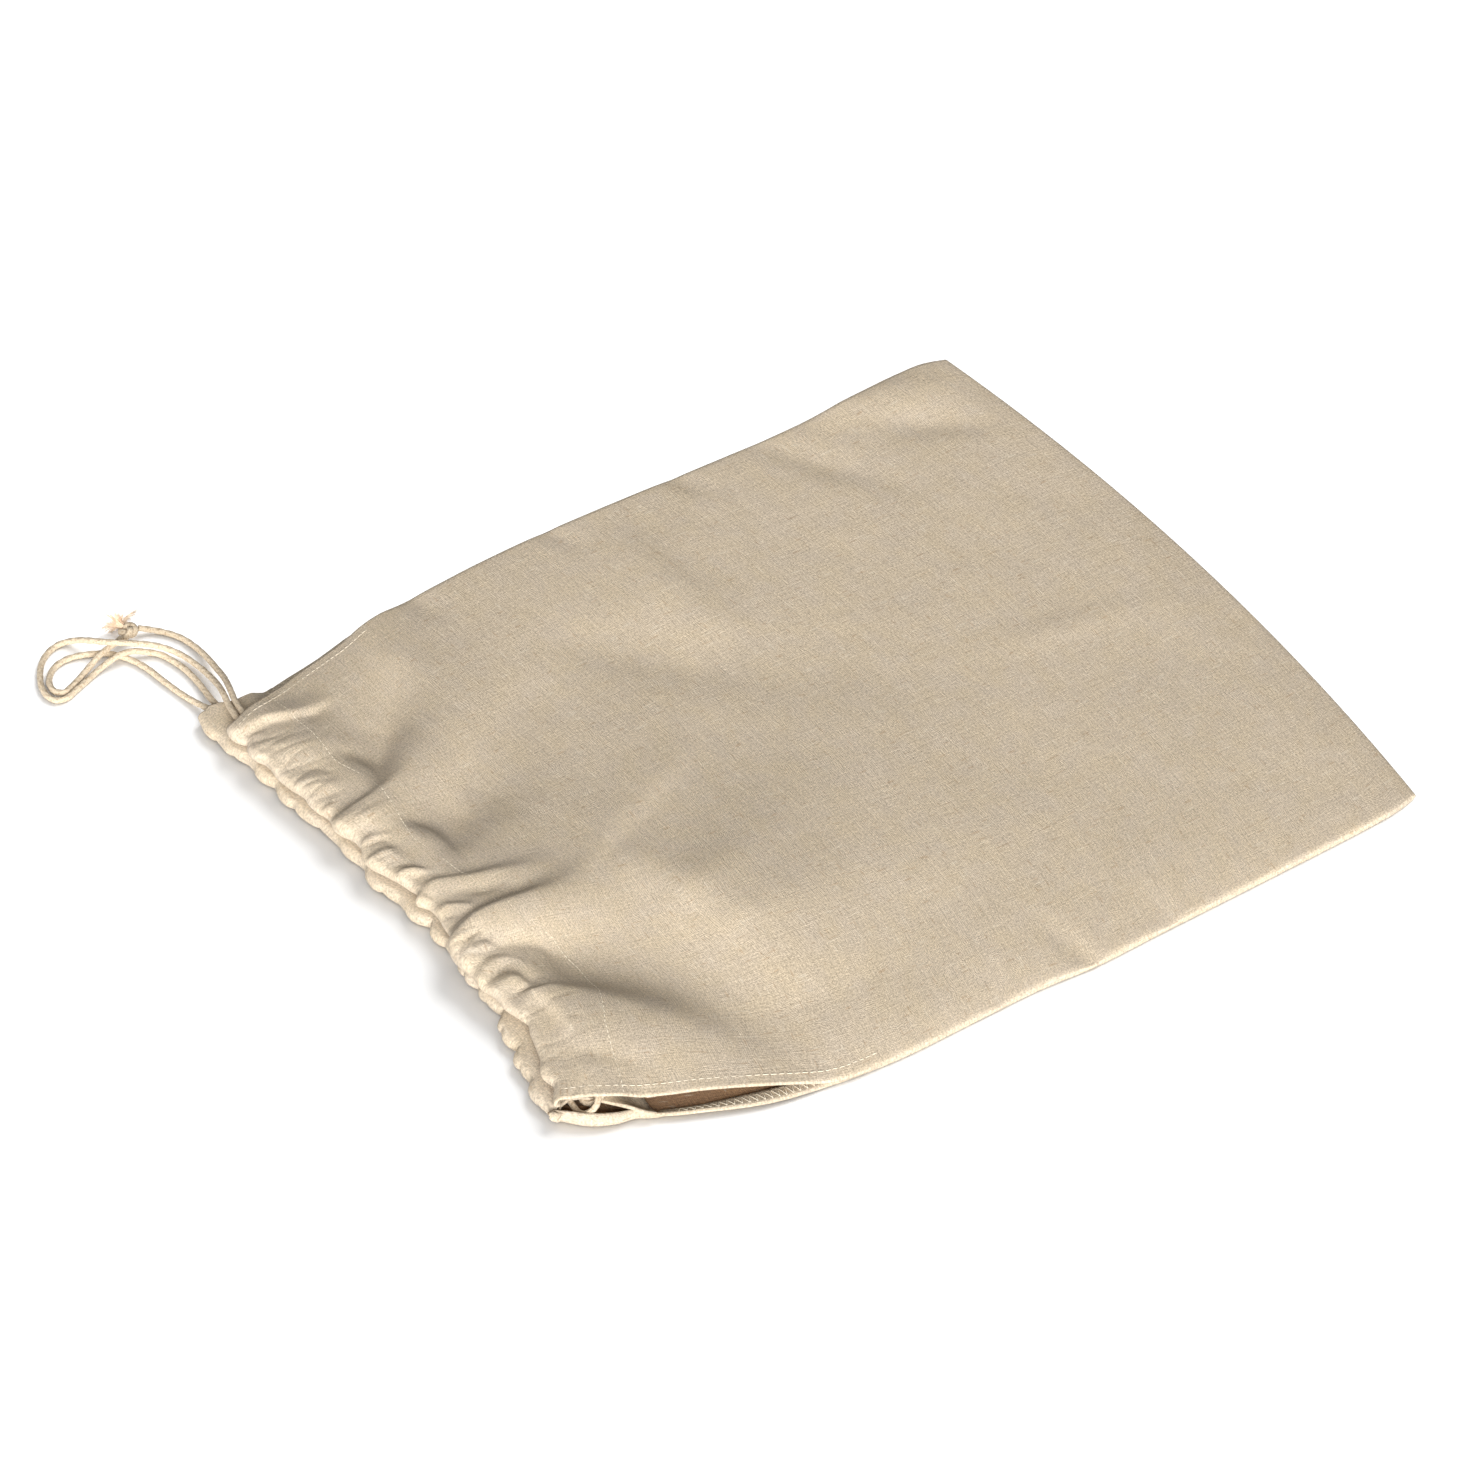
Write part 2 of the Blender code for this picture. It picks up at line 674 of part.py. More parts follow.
def knot(material, collection):
    """The overhand knot as a soft lump with the turns of the cord as ridges."""
    bpy.ops.mesh.primitive_uv_sphere_add(segments=20, ring_count=12, radius=1)
    lump = bpy.context.active_object
    lump.name = lump.data.name = "cord_knot"
    for vertex in lump.data.vertices:
        x, y, z = vertex.co
        turn = math.atan2(z, x)
        ridge = 1 + 0.09 * math.cos(3 * turn + 4.0 * y)
        vertex.co = [MM * (at + radius * ridge * c) for at, radius, c in zip(KNOT_AT, KNOT_RADII, (x, y, z))]
    lump.data.materials.append(material)
    lump.data.shade_smooth()
    for owner in list(lump.users_collection):
        owner.objects.unlink(lump)
    collection.objects.link(lump)
    return lump


def fray(material, collection):
    """The frayed cord tips as a flared bundle of locks, fused at the root."""
    sides = 2 * FRAY_LOCKS
    start = KNOT_AT[1] + KNOT_RADII[1] + PLAY + 0.2
    rings = ((0.0, FRAY_ROOT, 0.0), (0.3, 3.3, 0.12), (0.65, 4.5, 0.22), (1.0, FRAY_END, 0.3))
    vertices, faces = [], []
    for part, radius, depth in rings:
        for k in range(sides):
            turn = math.tau * k / sides
            valley = k % 2
            r = radius * (1 - depth * valley)
            y = start + FRAY_LENGTH * part - (1.6 * part * valley)
            lift = max(KNOT_AT[2] + 0.6 * part + r * math.sin(turn), 0.2)
            vertices.append((MM * (KNOT_AT[0] - 1.0 * part + r * math.cos(turn)), MM * y, MM * lift))
    for ring in range(len(rings) - 1):
        for k in range(sides):
            a, b = ring * sides + k, ring * sides + (k + 1) % sides
            faces.append((a, a + sides, b + sides, b))
    faces.append(tuple(range(sides)))
    vertices.append((MM * (KNOT_AT[0] - 1), MM * (start + FRAY_LENGTH * 0.7), MM * (KNOT_AT[2] + 0.6)))
    last = (len(rings) - 1) * sides
    faces += [(last + k, len(vertices) - 1, last + (k + 1) % sides) for k in range(sides)]
    mesh = bpy.data.meshes.new("cord_fray")
    mesh.from_pydata(vertices, [], faces)
    mesh.update()
    tips = bpy.data.objects.new("cord_fray", mesh)
    collection.objects.link(tips)
    mesh.materials.append(material)
    return tips


def surface(name, colour, roughness):
    material = bpy.data.materials.new(name)
    material.use_nodes = True
    shader = material.node_tree.nodes["Principled BSDF"]
    shader.inputs["Base Color"].default_value = (*colour, 1)
    shader.inputs["Roughness"].default_value = roughness
    shader.inputs["Metallic"].default_value = 0
    return material


def main():
    for thing in list(bpy.data.objects):
        bpy.data.objects.remove(thing)
    bag = bpy.data.collections.new("bread_bag")
    bpy.context.scene.collection.children.link(bag)
    linen = surface("linen", (0.58, 0.49, 0.36), 0.9)
    braid = surface("cord_braid", (0.66, 0.58, 0.46), 0.85)
    fibre = surface("cord_fibre", (0.80, 0.62, 0.47), 0.95)

    upper = Gathers(UPPER_LOBES, UPPER_BACK)
    cloth_sheet("front_panel", upper, upper_rows(upper), 1 + len(UPPER_BODY_ROWS), linen, bag)
    lower = Gathers(LOWER_LOBES, LOWER_BACK)
    cloth_sheet("back_panel", lower, lower_rows(lower), 1 + len(LOWER_BODY_ROWS), linen, bag)
    for name, places in FREE_CORDS:
        cord(name, along_curve(places, round(route_length(places) / CORD_STEP)), braid, bag)
    for name, upper_offsets, lower_offsets, front in CASING_STRANDS:
        cord(name, casing_strand(upper_offsets, lower_offsets, front), braid, bag)
    knot(braid, bag)
    fray(fibre, bag)


main()
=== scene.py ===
"""The linen bread bag, dressed: cloth with its gathers, hems, weave and stitching, and a braided cord.

Tables are in millimetres, in the part's own frame: +X from the mouth to the closed end, +Y from the
front side to the back side. MM turns them into metres.
"""

import math

import bpy
import numpy as np
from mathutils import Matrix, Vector, noise


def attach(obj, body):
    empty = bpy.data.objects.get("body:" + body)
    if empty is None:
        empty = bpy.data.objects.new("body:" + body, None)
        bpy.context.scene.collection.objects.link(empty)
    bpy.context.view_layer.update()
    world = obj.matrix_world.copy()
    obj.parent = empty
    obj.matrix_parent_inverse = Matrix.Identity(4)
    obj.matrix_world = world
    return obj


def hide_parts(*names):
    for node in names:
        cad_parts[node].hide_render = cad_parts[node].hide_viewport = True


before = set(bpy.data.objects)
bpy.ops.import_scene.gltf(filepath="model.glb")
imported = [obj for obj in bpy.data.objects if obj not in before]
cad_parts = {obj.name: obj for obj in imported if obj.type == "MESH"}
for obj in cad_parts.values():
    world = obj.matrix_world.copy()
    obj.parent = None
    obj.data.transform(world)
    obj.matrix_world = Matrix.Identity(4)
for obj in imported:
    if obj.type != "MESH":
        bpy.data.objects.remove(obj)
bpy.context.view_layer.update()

MM = 0.001

# Driving dimensions
CLOTH = 1.0  # thickness of the solids' cloth, which sets the heights in a casing
CASING = 33.0  # depth of each casing, from the mouth to its stitching
CORD = 2.75  # diameter of the cord
PLAY = 0.5  # room between the cord and the cloth
MOUTH_GAP = 1.2  # between the two casings
BULGE = 12.5  # how far the closed end bows outward
HALF_WIDTH = 176.0  # half the width of the flat bag
CLOSED_END = 200.8  # x of the closed end at its corners
LENGTH = 406.0  # mean length from the mouth to the closed end
PUCKER_RISE = 1.5  # how far the pleats of the lower casing lift off the table
TUBE_END = 14.0  # how far a casing's inner layer is drawn back from the front side
CHANNEL = 23.0  # depth of a casing's round part, before it narrows to its stitching
GATHER_SPREAD = 160.0  # distance over which the gathered cloth spreads to its full width
MOUTH_BAND = 90.0  # distance over which rows of cloth follow the mouth's own curve
PUCKER_REACH = 28.0  # how far the pleats of the lower half run back from the mouth
PUCKER_FULL = 8.0  # and how far they keep their full height
TUCKED_SLACK = 1.3  # cloth held in a lobe, as a multiple of its height

# Casing heights, to the middle of the cloth
LOWER_OUTER = CLOTH / 2
LOWER_CORD = CLOTH + PUCKER_RISE + PLAY + CORD / 2
LOWER_INNER = LOWER_CORD + CORD / 2 + PLAY + CLOTH / 2
UPPER_INNER = LOWER_INNER + CLOTH + MOUTH_GAP
UPPER_CORD = UPPER_INNER + CLOTH / 2 + PLAY + CORD / 2
UPPER_OUTER = UPPER_CORD + CORD / 2 + PLAY + CLOTH / 2

# Outline of the lower half: x, y of the front side, y of the back side
LOWER_SIDES = (
    (-214, -118, 150), (-206, -128, 156.5), (-195, -138, 153.5), (-185, -142.6, 154), (-177, -144, 155.4),
    (-167, -150.4, 157.4), (-151, -158, 160), (-128, -167, 166), (-101, -172, 170), (-74, -175.3, 173),
    (-30, -175.8, 175.5), (0, -176, 175.5), (28, -178.2, 175), (60, -178, 174), (120, -177.8, 174),
    (153, -177.6, 176.4), (176, -177.2, 178.2), (190, -176.4, 178), (203, -173.5, 174),
)

# Outline of the upper half, which pulls in further where the side seams end
UPPER_SIDES = (
    (-212, -124, 132), (-205, -126, 134), (-195, -131, 138.5), (-189, -134.8, 140), (-176, -141, 145),
    (-163, -146, 149.8), (-150, -150.5, 154), (-138, -155.5, 158), (-125, -161.5, 163.8),
    (-113, -167, 167.6), (-101, -171.8, 170),
) + LOWER_SIDES[9:]

# Mouth edge: y, x
LOWER_MOUTH = (
    (-128, -206), (-116, -204.8), (-90, -199), (-57, -193), (-36, -194.5), (-10, -193.5), (28, -198),
    (78, -202), (119, -206), (157, -211),
)
UPPER_MOUTH = (
    (-127, -204), (-106, -199), (-71, -191), (-42, -193), (-15, -191.5), (17, -193), (63, -198),
    (100, -203), (137, -208),
)

# Gathered lobes of the upper casing, front to back: y of the pleat where each lobe starts, and how
# high it stands
UPPER_LOBES = (
    (-127, 0.6), (-112, 0.9), (-100, 1.2), (-88, 1.8), (-74, 3.4), (-65, 2.8), (-57, 3.6), (-48, 3.2),
    (-39, 3.4), (-30, 2.8), (-22, 3.8), (-12, 2.8), (-3, 3.2), (6, 2.4), (14, 3.8), (25, 2.6),
    (36, 3.2), (48, 2.4), (60, 3.4), (72, 1.8), (84, 2.8), (97, 1.8), (109, 3.2), (122, 4.2),
)
UPPER_BACK = 137  # y where the last lobe ends

# Gathered lobes of the lower casing, front to back: y of the pleat, how far the lobe bulges
LOWER_LOBES = (
    (-128, 1.2), (-115, 2.2), (-103, 2), (-92, 2.2), (-81, 2.6), (-68, 2.4), (-57, 2.8), (-48, 2.6),
    (-40, 2.6), (-31, 2.4), (-22, 2.6), (-12, 2.6), (0, 2.8), (14, 2.8), (27, 2.4), (40, 2.8), (57, 2.2),
    (72, 2.4), (86, 2.2), (100, 2.6), (114, 2.4), (128, 2.4), (142, 2),
)
LOWER_BACK = 157

# How far the lower half curls up along its sides: x, front side, back side
LOWER_LIPS = (
    (-214, 4, 0), (-207, 7, 0), (-200, 7.6, 0), (-193, 7.2, 0), (-186, 6.4, 0.1),
    (-179, 5.2, 0.2), (-173, 3.6, 0.3), (-166, 2.5, 0.4), (-150, 2.4, 0.8), (-128, 1.6, 0.8),
    (-110, 0.8, 0.8), (-90, 1.1, 1), (175, 1.1, 1), (195, 0.4, 0.4), (203, 0.1, 0.1),
)

# Height of the upper half along its length: x, height of its side edges, height of its crown,
# distance from the front edge and from the back edge over which it rises
UPPER_HEIGHTS = (
    (-215, UPPER_OUTER, UPPER_OUTER, 10, 10), (-196, UPPER_OUTER, UPPER_OUTER, 12, 12),
    (-188, UPPER_OUTER - 0.1, UPPER_OUTER, 12, 12), (-178, 11.6, 13.2, 14, 14),
    (-165, 10, 12, 18, 20), (-150, 8.6, 10.6, 24, 30), (-135, 7.3, 9.2, 30, 44),
    (-119, 6, 8.4, 34, 60), (-101, 3.5, 7.8, 30, 80), (-60, 3.05, 7.8, 26, 90), (0, 3, 7.2, 24, 90),
    (90, 3, 5.8, 22, 80), (160, 3, 4.5, 22, 60), (220, 3, 3.6, 22, 50),
)
FOLD_HEIGHT = 2.0  # of the upper half at the closed end
FOLD_SOFTNESS = 12.0  # distance over which it rises from the closed end
PATH_BLEND = 0.8  # distance over which one stretch of a form's path passes into the next
FADED = 2.7  # distance from a form, in reaches, beyond which it adds nothing

# Soft forms of the upper half: crests, and valleys with negative heights. Each row of a path is
# x, y, height, and how far the form reaches to its left and to its right
UPPER_FORMS = (
    # main crest from the mouth, falling gently to both sides away from it
    ((-208, -29, 2.4, 3, 11), (-196, -31, 3.6, 3, 14), (-180, -26, 4.2, 8, 19), (-160, -26, 4.2, 30, 24),
     (-137, -26, 4, 56, 24), (-115, -20, 3.2, 70, 24), (-94, -9, 2.2, 76, 22), (-72, 1, 1.4, 76, 20),
     (-49, 12, 0.8, 60, 20), (-26, 23, 0.3, 50, 20), (2, 36, 0, 40, 20)),
    # its sharp edge near the mouth
    ((-202, -31, 0.8, 2, 8), (-190, -28, 2, 2.2, 12), (-180, -26, 3.2, 2.6, 16), (-168, -26, 4, 3.4, 18),
     (-154, -27, 3.8, 5, 18), (-140, -27, 2.5, 7, 16), (-126, -23, 1, 8, 12), (-112, -16, 0, 8, 10)),
    # and its crest line
    ((-134, -28, 0, 12, 3.6), (-112, -15, 1.1, 16, 3.6), (-90, -4, 1.6, 20, 4), (-66, 8, 1.4, 20, 4.4),
     (-42, 21, 0, 18, 5)),
    # shoulder where the hollow in front of it rises to the body
    ((-104, -14, 0.2, 60, 14), (-95, -34, 3.8, 90, 18), (-88, -56, 7.4, 90, 20), (-84, -82, 7.4, 72, 21),
     (-85, -108, 4.2, 48, 22), (-88, -136, 1.2, 30, 20), (-90, -160, 0, 24, 18)),
    # and its rim
    ((-92, -36, 0, 20, 16), (-84, -58, 1.4, 24, 16), (-80, -84, 1.6, 26, 16), (-80, -110, 1.2, 24, 16),
     (-84, -134, 0, 20, 14)),
    # crest of the front flap, over the valley
    ((-190, -79, 1, 3, 14), (-184, -74, 2.4, 3, 24), (-178, -73.5, 4.2, 5, 34), (-167, -82, 5.7, 9, 40),
     (-155, -96, 6, 13, 40), (-144, -110, 5, 15, 36), (-135, -126, 2.4, 15, 28),
     (-127, -142, 0.8, 14, 20), (-118, -156, 0, 12, 14)),
    # valley between the two
    ((-190, -40, 0, 5, 4), (-178, -46, -2.8, 6, 9), (-165, -55, -4.6, 11, 14), (-148, -71, -4.8, 24, 20),
     (-131, -93, -3.4, 28, 22), (-117, -116, -1.6, 24, 18), (-106, -140, -0.5, 18, 12),
     (-98, -158, 0, 14, 8)),
    # hollow behind the main crest
    ((-190, 20, 0, 8, 8), (-178, 25, -3.4, 9, 10), (-166, 32, -6.2, 14, 14), (-152, 42, -6.8, 18, 18),
     (-136, 54, -5.8, 20, 26), (-118, 66, -3.4, 20, 30), (-96, 76, -1.6, 20, 30), (-66, 88, -0.8, 20, 30),
     (-36, 100, 0, 20, 26)),
    # pocket of the middle lobes
    ((-194, 63, 0, 6, 3), (-180, 71, -3.6, 9, 4.5), (-165, 84, -6.2, 14, 7), (-150, 100, -5.6, 16, 9),
     (-136, 119, -3, 16, 12), (-122, 138, 0, 14, 14)),
    # and its thin ridge
    ((-200, 57, 2, 2.4, 12), (-189, 59.5, 3, 2.4, 14), (-177, 62, 3.5, 3.2, 18), (-165, 66, 3.5, 5, 22),
     (-152, 73, 2.8, 8, 24), (-138, 84, 1.5, 10, 24), (-118, 98, 0, 12, 22)),
    # flap's own shallow trough
    ((-200, -105, 0, 5, 5), (-190, -108.5, -0.9, 5, 5), (-180, -114, -1.1, 6, 5),
     (-168, -126, -0.6, 7, 6), (-158, -138, 0, 8, 8)),
    # ridge along the body and the soft band it meets
    ((10, 62, 0, 16, 14), (7.4, 80, 1.1, 18, 12), (6.6, 110, 1.6, 20, 10), (6, 135, 1.2, 18, 10),
     (3.5, 165, 0, 14, 10)),
    ((-62, 124, 0, 16, 14), (-46, 102, -1.1, 18, 14), (-24, 74, -1.5, 20, 16), (0, 48, -1.3, 22, 18),
     (28, 28, -0.7, 22, 20), (56, 14, 0, 20, 20)),
    # streaks and mounds near the back corner of the closed end
    ((84, 176, 0, 9, 7), (96, 165, -1, 9, 7), (110, 142, -1.5, 10, 8), (126, 118, -0.7, 10, 9),
     (142, 94, 0, 10, 9)),
    ((120, 176, 0, 10, 12), (140, 174, 2, 12, 14), (164, 167, 2.2, 14, 16), (186, 162, 1.5, 14, 16),
     (200, 160, 0, 12, 14)),
    ((146, 150, 0, 8, 8), (160, 143, -1.5, 9, 8), (178, 132, -1.4, 9, 8), (198, 120, 0, 9, 8)),
    # faint crease toward the closed end
    ((96, -2, 0, 9, 8), (126, -6, 0.8, 9, 8), (162, -12, 0.6, 9, 8), (198, -18, 0, 9, 8)),
    # puckers along the front side seam
    ((27, -178, -1.5, 6, 4), (24, -158, -1.2, 7, 5), (22, -142, 0, 8, 6)),
    ((-20, -177, -1.2, 6, 4), (-14, -164, -1.1, 6, 5), (-8, -150, 0, 8, 6)),
    ((66, -179, -1, 6, 5), (68, -166, -0.8, 7, 6), (71, -152, 0, 8, 6)),
    # and along the back one
    ((-22, 177, -1, 5, 5), (-16, 164, -0.8, 6, 5), (-12, 150, 0, 7, 6)),
    ((46, 176, -1, 5, 5), (52, 163, -0.8, 6, 5), (60, 149, 0, 7, 6)),
    ((-96, 172, -1, 6, 5), (-92, 160, -0.9, 7, 6), (-90, 147, 0, 8, 6)),
)

# Lobes of the gathered mouth of the upper half, back to front, rows as in UPPER_FORMS. Where two
# meet, the higher one shows, with a sharp crease between them
MOUTH_LOBES = (
    # lip at the back corner
    ((-211, 131, 2.1, 9, 3), (-203, 127.6, 2.7, 10, 2), (-194, 128, 2.9, 10, 1.8),
     (-186, 126, 2.6, 9, 1.8), (-176, 124.6, 1.9, 8, 2), (-168, 126, 1.1, 8, 3), (-158, 131, 0, 7, 4)),
    # small pointed fold beside it
    ((-209, 119.4, 1.9, 2.2, 2.4), (-203.6, 121.6, 2.1, 2, 2.2), (-199, 122.6, 1.1, 1.6, 2)),
    # broad lobe
    ((-210, 108, 1.9, 6, 11), (-201, 110, 2.6, 9, 12), (-192, 106, 2.7, 11, 12), (-183, 102, 2.4, 13, 10),
     (-172, 101, 1.3, 14, 9), (-160, 104, 0, 14, 9)),
    ((-208, 82, 1.8, 7, 9), (-198, 83, 2.6, 8, 9), (-190, 78, 2.3, 8, 7), (-180, 74, 0.8, 8, 4)),
    # narrow bright ridge
    ((-204, 56.4, 1.4, 2.6, 2.8), (-198.4, 64, 2.1, 3, 2), (-194, 68, 2.1, 2.6, 1.6),
     (-187, 70, 0.6, 2.4, 1.6)),
    # lobe in front of the pocket's ridge
    ((-205, 52.4, 1.8, 4, 5.4), (-196, 53.6, 2.2, 4, 7), (-185, 52, 1.8, 5, 9), (-172, 51, 0.5, 7, 9)),
    # hooked ridge
    ((-202, 31, 1.8, 2.4, 1.8), (-198.4, 36.4, 2.2, 2.6, 1.4), (-194.4, 39.6, 2.2, 3, 1.4),
     (-189, 40.4, 1.4, 3.4, 1.6), (-184, 38, 0.5, 4, 2)),
    # pillows in front of it
    ((-203, 26, 1.9, 3, 4.4), (-196, 29.6, 2.6, 3.4, 5), (-189, 29.4, 2.2, 3.6, 4.6),
     (-184.6, 23, 1, 3.6, 4)),
    ((-198, 12, 1.6, 3.4, 3.4), (-192.4, 15.6, 2.6, 3.6, 3.2), (-186.6, 14.2, 3.2, 3.4, 2.4),
     (-181, 11, 2.6, 3, 2), (-175, 9, 0.8, 3, 2)),
    ((-198.4, -1, 1.8, 2, 1.8), (-194.4, 6, 2.4, 2.2, 1.6), (-191, 12.6, 2.1, 2, 1.6)),
    # long ridge beside the main crest
    ((-195, 0, 1.6, 2.4, 4), (-184.4, 4.2, 2.4, 2, 7), (-176, 1.6, 2.4, 2, 8), (-166, -2.4, 2.2, 2.6, 8),
     (-156, -6, 1.9, 4, 8), (-144, -10, 1.1, 6, 8), (-130, -14, 0, 8, 8)),
    ((-197, -16.4, 1.8, 3.2, 3.6), (-189, -10.6, 2.4, 3.4, 4), (-182.6, -13, 2.1, 2.2, 3.6),
     (-175, -20, 0.6, 2, 3)),
    # small lobes in front of the main crest
    ((-200, -35, 1.6, 2.4, 2.6), (-192, -31.6, 1.3, 2.4, 2), (-186, -29.8, 0, 2, 2)),
    ((-199, -44, 1.8, 3.4, 4.6), (-190, -41, 2.7, 3.2, 4.8), (-183.6, -40.4, 2.1, 2.2, 5),
     (-178, -45.6, 0.8, 2.4, 5)),
    ((-199, -57, 1.6, 4, 2.4), (-190, -51.4, 2.6, 4, 2), (-183.4, -49.4, 2.7, 4, 2),
     (-177.6, -52.4, 2.6, 4, 2), (-174.4, -60, 2.1, 4, 2), (-174.8, -68, 1, 4, 2.4)),
    ((-197, -67, 1.8, 4, 5), (-189.4, -62, 2.7, 4, 5), (-183.6, -61.4, 2.6, 4, 5),
     (-181.4, -68, 1.8, 2.4, 5)),
)

# Dark creases between them, rows as in UPPER_FORMS
MOUTH_CREASES = (
    ((-206, 124, -0.8, 1.4, 1.4), (-199, 123.6, -1.6, 1.2, 1.6), (-192, 124.8, -1.6, 1, 2.4),
     (-187, 122.8, -1.6, 1, 3), (-180, 121.4, -1.4, 1.2, 4), (-168, 123, -0.8, 2, 5),
     (-158, 126, 0, 3, 5)),
    ((-196, 92, -0.2, 1, 1), (-190, 89.4, -0.6, 1, 1.4), (-184, 84.6, -0.6, 1, 2), (-178, 80, 0, 2, 2)),
    ((-199, 32, -0.6, 1, 1.2), (-194, 37.2, -1, 1.2, 1.4), (-189, 37.6, -1.2, 1.6, 1.6),
     (-185, 33.6, -1.4, 2, 2.4), (-181, 25, -1.4, 2.6, 3), (-175, 19.4, -1.2, 4, 4), (-166, 16, 0, 5, 5)),
    ((-196, 19, -0.4, 1, 1), (-190.4, 21, -1, 1.2, 1.4), (-184, 17, -1.2, 1.6, 2), (-176, 10, -0.8, 3, 2),
     (-170, 8, 0, 3, 3)),
    ((-195, 2.6, -0.6, 1, 1.2), (-189.4, 9, -1.4, 1.6, 1.8), (-185, 11, -1.8, 2.4, 2),
     (-179, 9, -1.2, 4, 2), (-172, 6, 0, 5, 3)),
    ((-182, -5, 0, 2, 2), (-175, -8, -1.6, 3, 3), (-170, -11, -2, 4, 3), (-163, -13, -1.6, 5, 4),
     (-154, -13, 0, 5, 5)),
    ((-196, -25.6, -0.6, 1.2, 1), (-189, -22.4, -1.6, 1.6, 1.2), (-181, -20.4, -2.2, 2, 1.6),
     (-170, -19.6, -2.6, 3, 2), (-158, -20, -2.2, 4, 3), (-146, -20.6, 0, 6, 4)),
    ((-197, -39, -0.4, 1, 1), (-190.6, -35, -1.2, 1, 1.2), (-185.6, -33.4, -1.4, 1, 1.6),
     (-181, -36, 0, 1.4, 2)),
    ((-185, -37.4, 0, 1.4, 1.4), (-180.4, -42, -1.4, 2, 1.6), (-174, -49, -1.8, 3.4, 2.4),
     (-166, -56, 0, 6, 3)),
    ((-193, -57, -0.6, 1, 1.2), (-187, -54, -1.6, 1, 1.6), (-182.6, -53.6, -2, 1, 1.8),
     (-179, -58, -2, 1, 2), (-177.8, -64, -1.6, 1.2, 2.2), (-177.6, -70, 0, 2, 2)),
    ((-192, -72, -0.4, 1.6, 1.2), (-187, -69, -1.2, 2, 1.2), (-181, -70.4, -1.4, 2.4, 1.2),
     (-174, -73.6, 0, 3, 1.4)),
)

# Edge of each casing as it shows, with its scallops: y, x
UPPER_EDGE = (
    (-127, -205.4), (-121, -202.4), (-116, -199.8), (-110, -201.2), (-99, -196.6), (-88, -193.8),
    (-83, -192.6), (-78, -190.6), (-73, -192), (-67, -194.3), (-60, -194.4), (-52, -196.9),
    (-45, -196.2), (-41, -197.4), (-32, -198), (-27, -196), (-22, -192), (-15, -191),
    (-8, -190), (-2, -190.6), (2, -193.8), (6, -190.4), (12, -191.8), (18, -194), (24, -196.6),
    (29, -199.2), (35, -199.6), (41, -196.6), (47, -196.8), (54, -200.4), (57, -200.8), (63, -199),
    (70, -200.8), (75, -201.8), (81, -201.3), (88, -203.2), (98, -204.9), (109, -205), (115, -207.6),
    (121, -207.4), (124, -205.2), (127, -207), (133, -209.6), (137, -209),
)
LOWER_EDGE = (
    (-128, -208.6), (-121, -206), (-114, -207.8), (-106, -207.2), (-99, -203.6), (-92, -205),
    (-84, -203), (-79, -199.8), (-73, -201.4), (-64, -199.6), (-57, -194.4), (-49, -195.4),
    (-44, -195.8), (-38, -194.2), (-35, -195.6), (-26, -194.8), (-19, -191.8), (-11, -194.2),
    (-4, -194.6), (2, -193.2), (8, -196.6), (14, -196.2), (19, -195.6), (27, -200.2), (37, -200.2),
    (44, -197.8), (54, -200.6), (62, -199.8), (78, -204), (88, -207), (94, -207.2), (102, -206),
    (106, -208), (113, -209.3), (119, -207.6), (125, -210.4), (132, -212.4), (137, -212.2),
    (143, -213.6), (150, -214), (157, -212),
)
# Lowest the upper half may sink: distance behind the mouth, height
UPPER_LOWEST = (
    (0, 13), (21, 13), (25, 11.4), (30, 8), (36, 4.8), (42, 3.2), (60, 2.4), (420, 1.6),
)
LOWEST_SHIFT = 5.0  # how far from its place in the table a height may lie
LOWEST_SOFT = 0.9  # height over which the cloth comes to rest on it

# Free cord, from where it leaves a casing: x, y, z. A row without z lies on the table
LAID = 1.5
CORD_END_UPPER = (
    (-197.5, 138.8, 11.3), (-197, 144, 11), (-195.6, 151, 9.9), (-193.2, 160, 8.8), (-191, 169, 6.4),
    (-189.8, 178, 4), (-189.2, 187, 2.6), (-189.8, 197, 1.8), (-192.4, 207), (-197, 214, 1.6),
    (-202, 218.4, 2.4), (-205.9, 220.2, 3.8),
)
CORD_LOOP = (
    (-201.2, 138.8, 11.3), (-200.6, 143, 11), (-199.4, 149, 9.8), (-197.4, 157.5, 8.9),
    (-195.6, 166, 6.6), (-194.8, 175, 4.2), (-195.4, 186, 2.6), (-198.2, 196, 2.8), (-203.2, 203, 4.2),
    (-208.6, 207, 5.6), (-214, 209.6, 6.9), (-219, 212.4, 7.7), (-223.6, 216, 7.7), (-228, 221.6, 6.4),
    (-231.2, 227, 4.2), (-234.8, 231, 2.2), (-239.6, 232.4), (-245.8, 230.4), (-251.2, 226),
    (-255.8, 219), (-258.8, 211), (-258.9, 205), (-256.8, 201.2), (-253, 200.2), (-246.8, 202.4),
    (-239.7, 205.2), (-232, 207.9, 2.1), (-226.2, 208.6, 3.6), (-220.2, 208.6, 4.6), (-214.4, 208.2, 3.5),
    (-209.4, 205.8, 2.2), (-205.2, 202.2), (-202.6, 196), (-200.6, 188), (-199.9, 179),
    (-200.2, 170, 1.9), (-200.9, 163.2, 3), (-201.3, 156.8, 4.4),
)
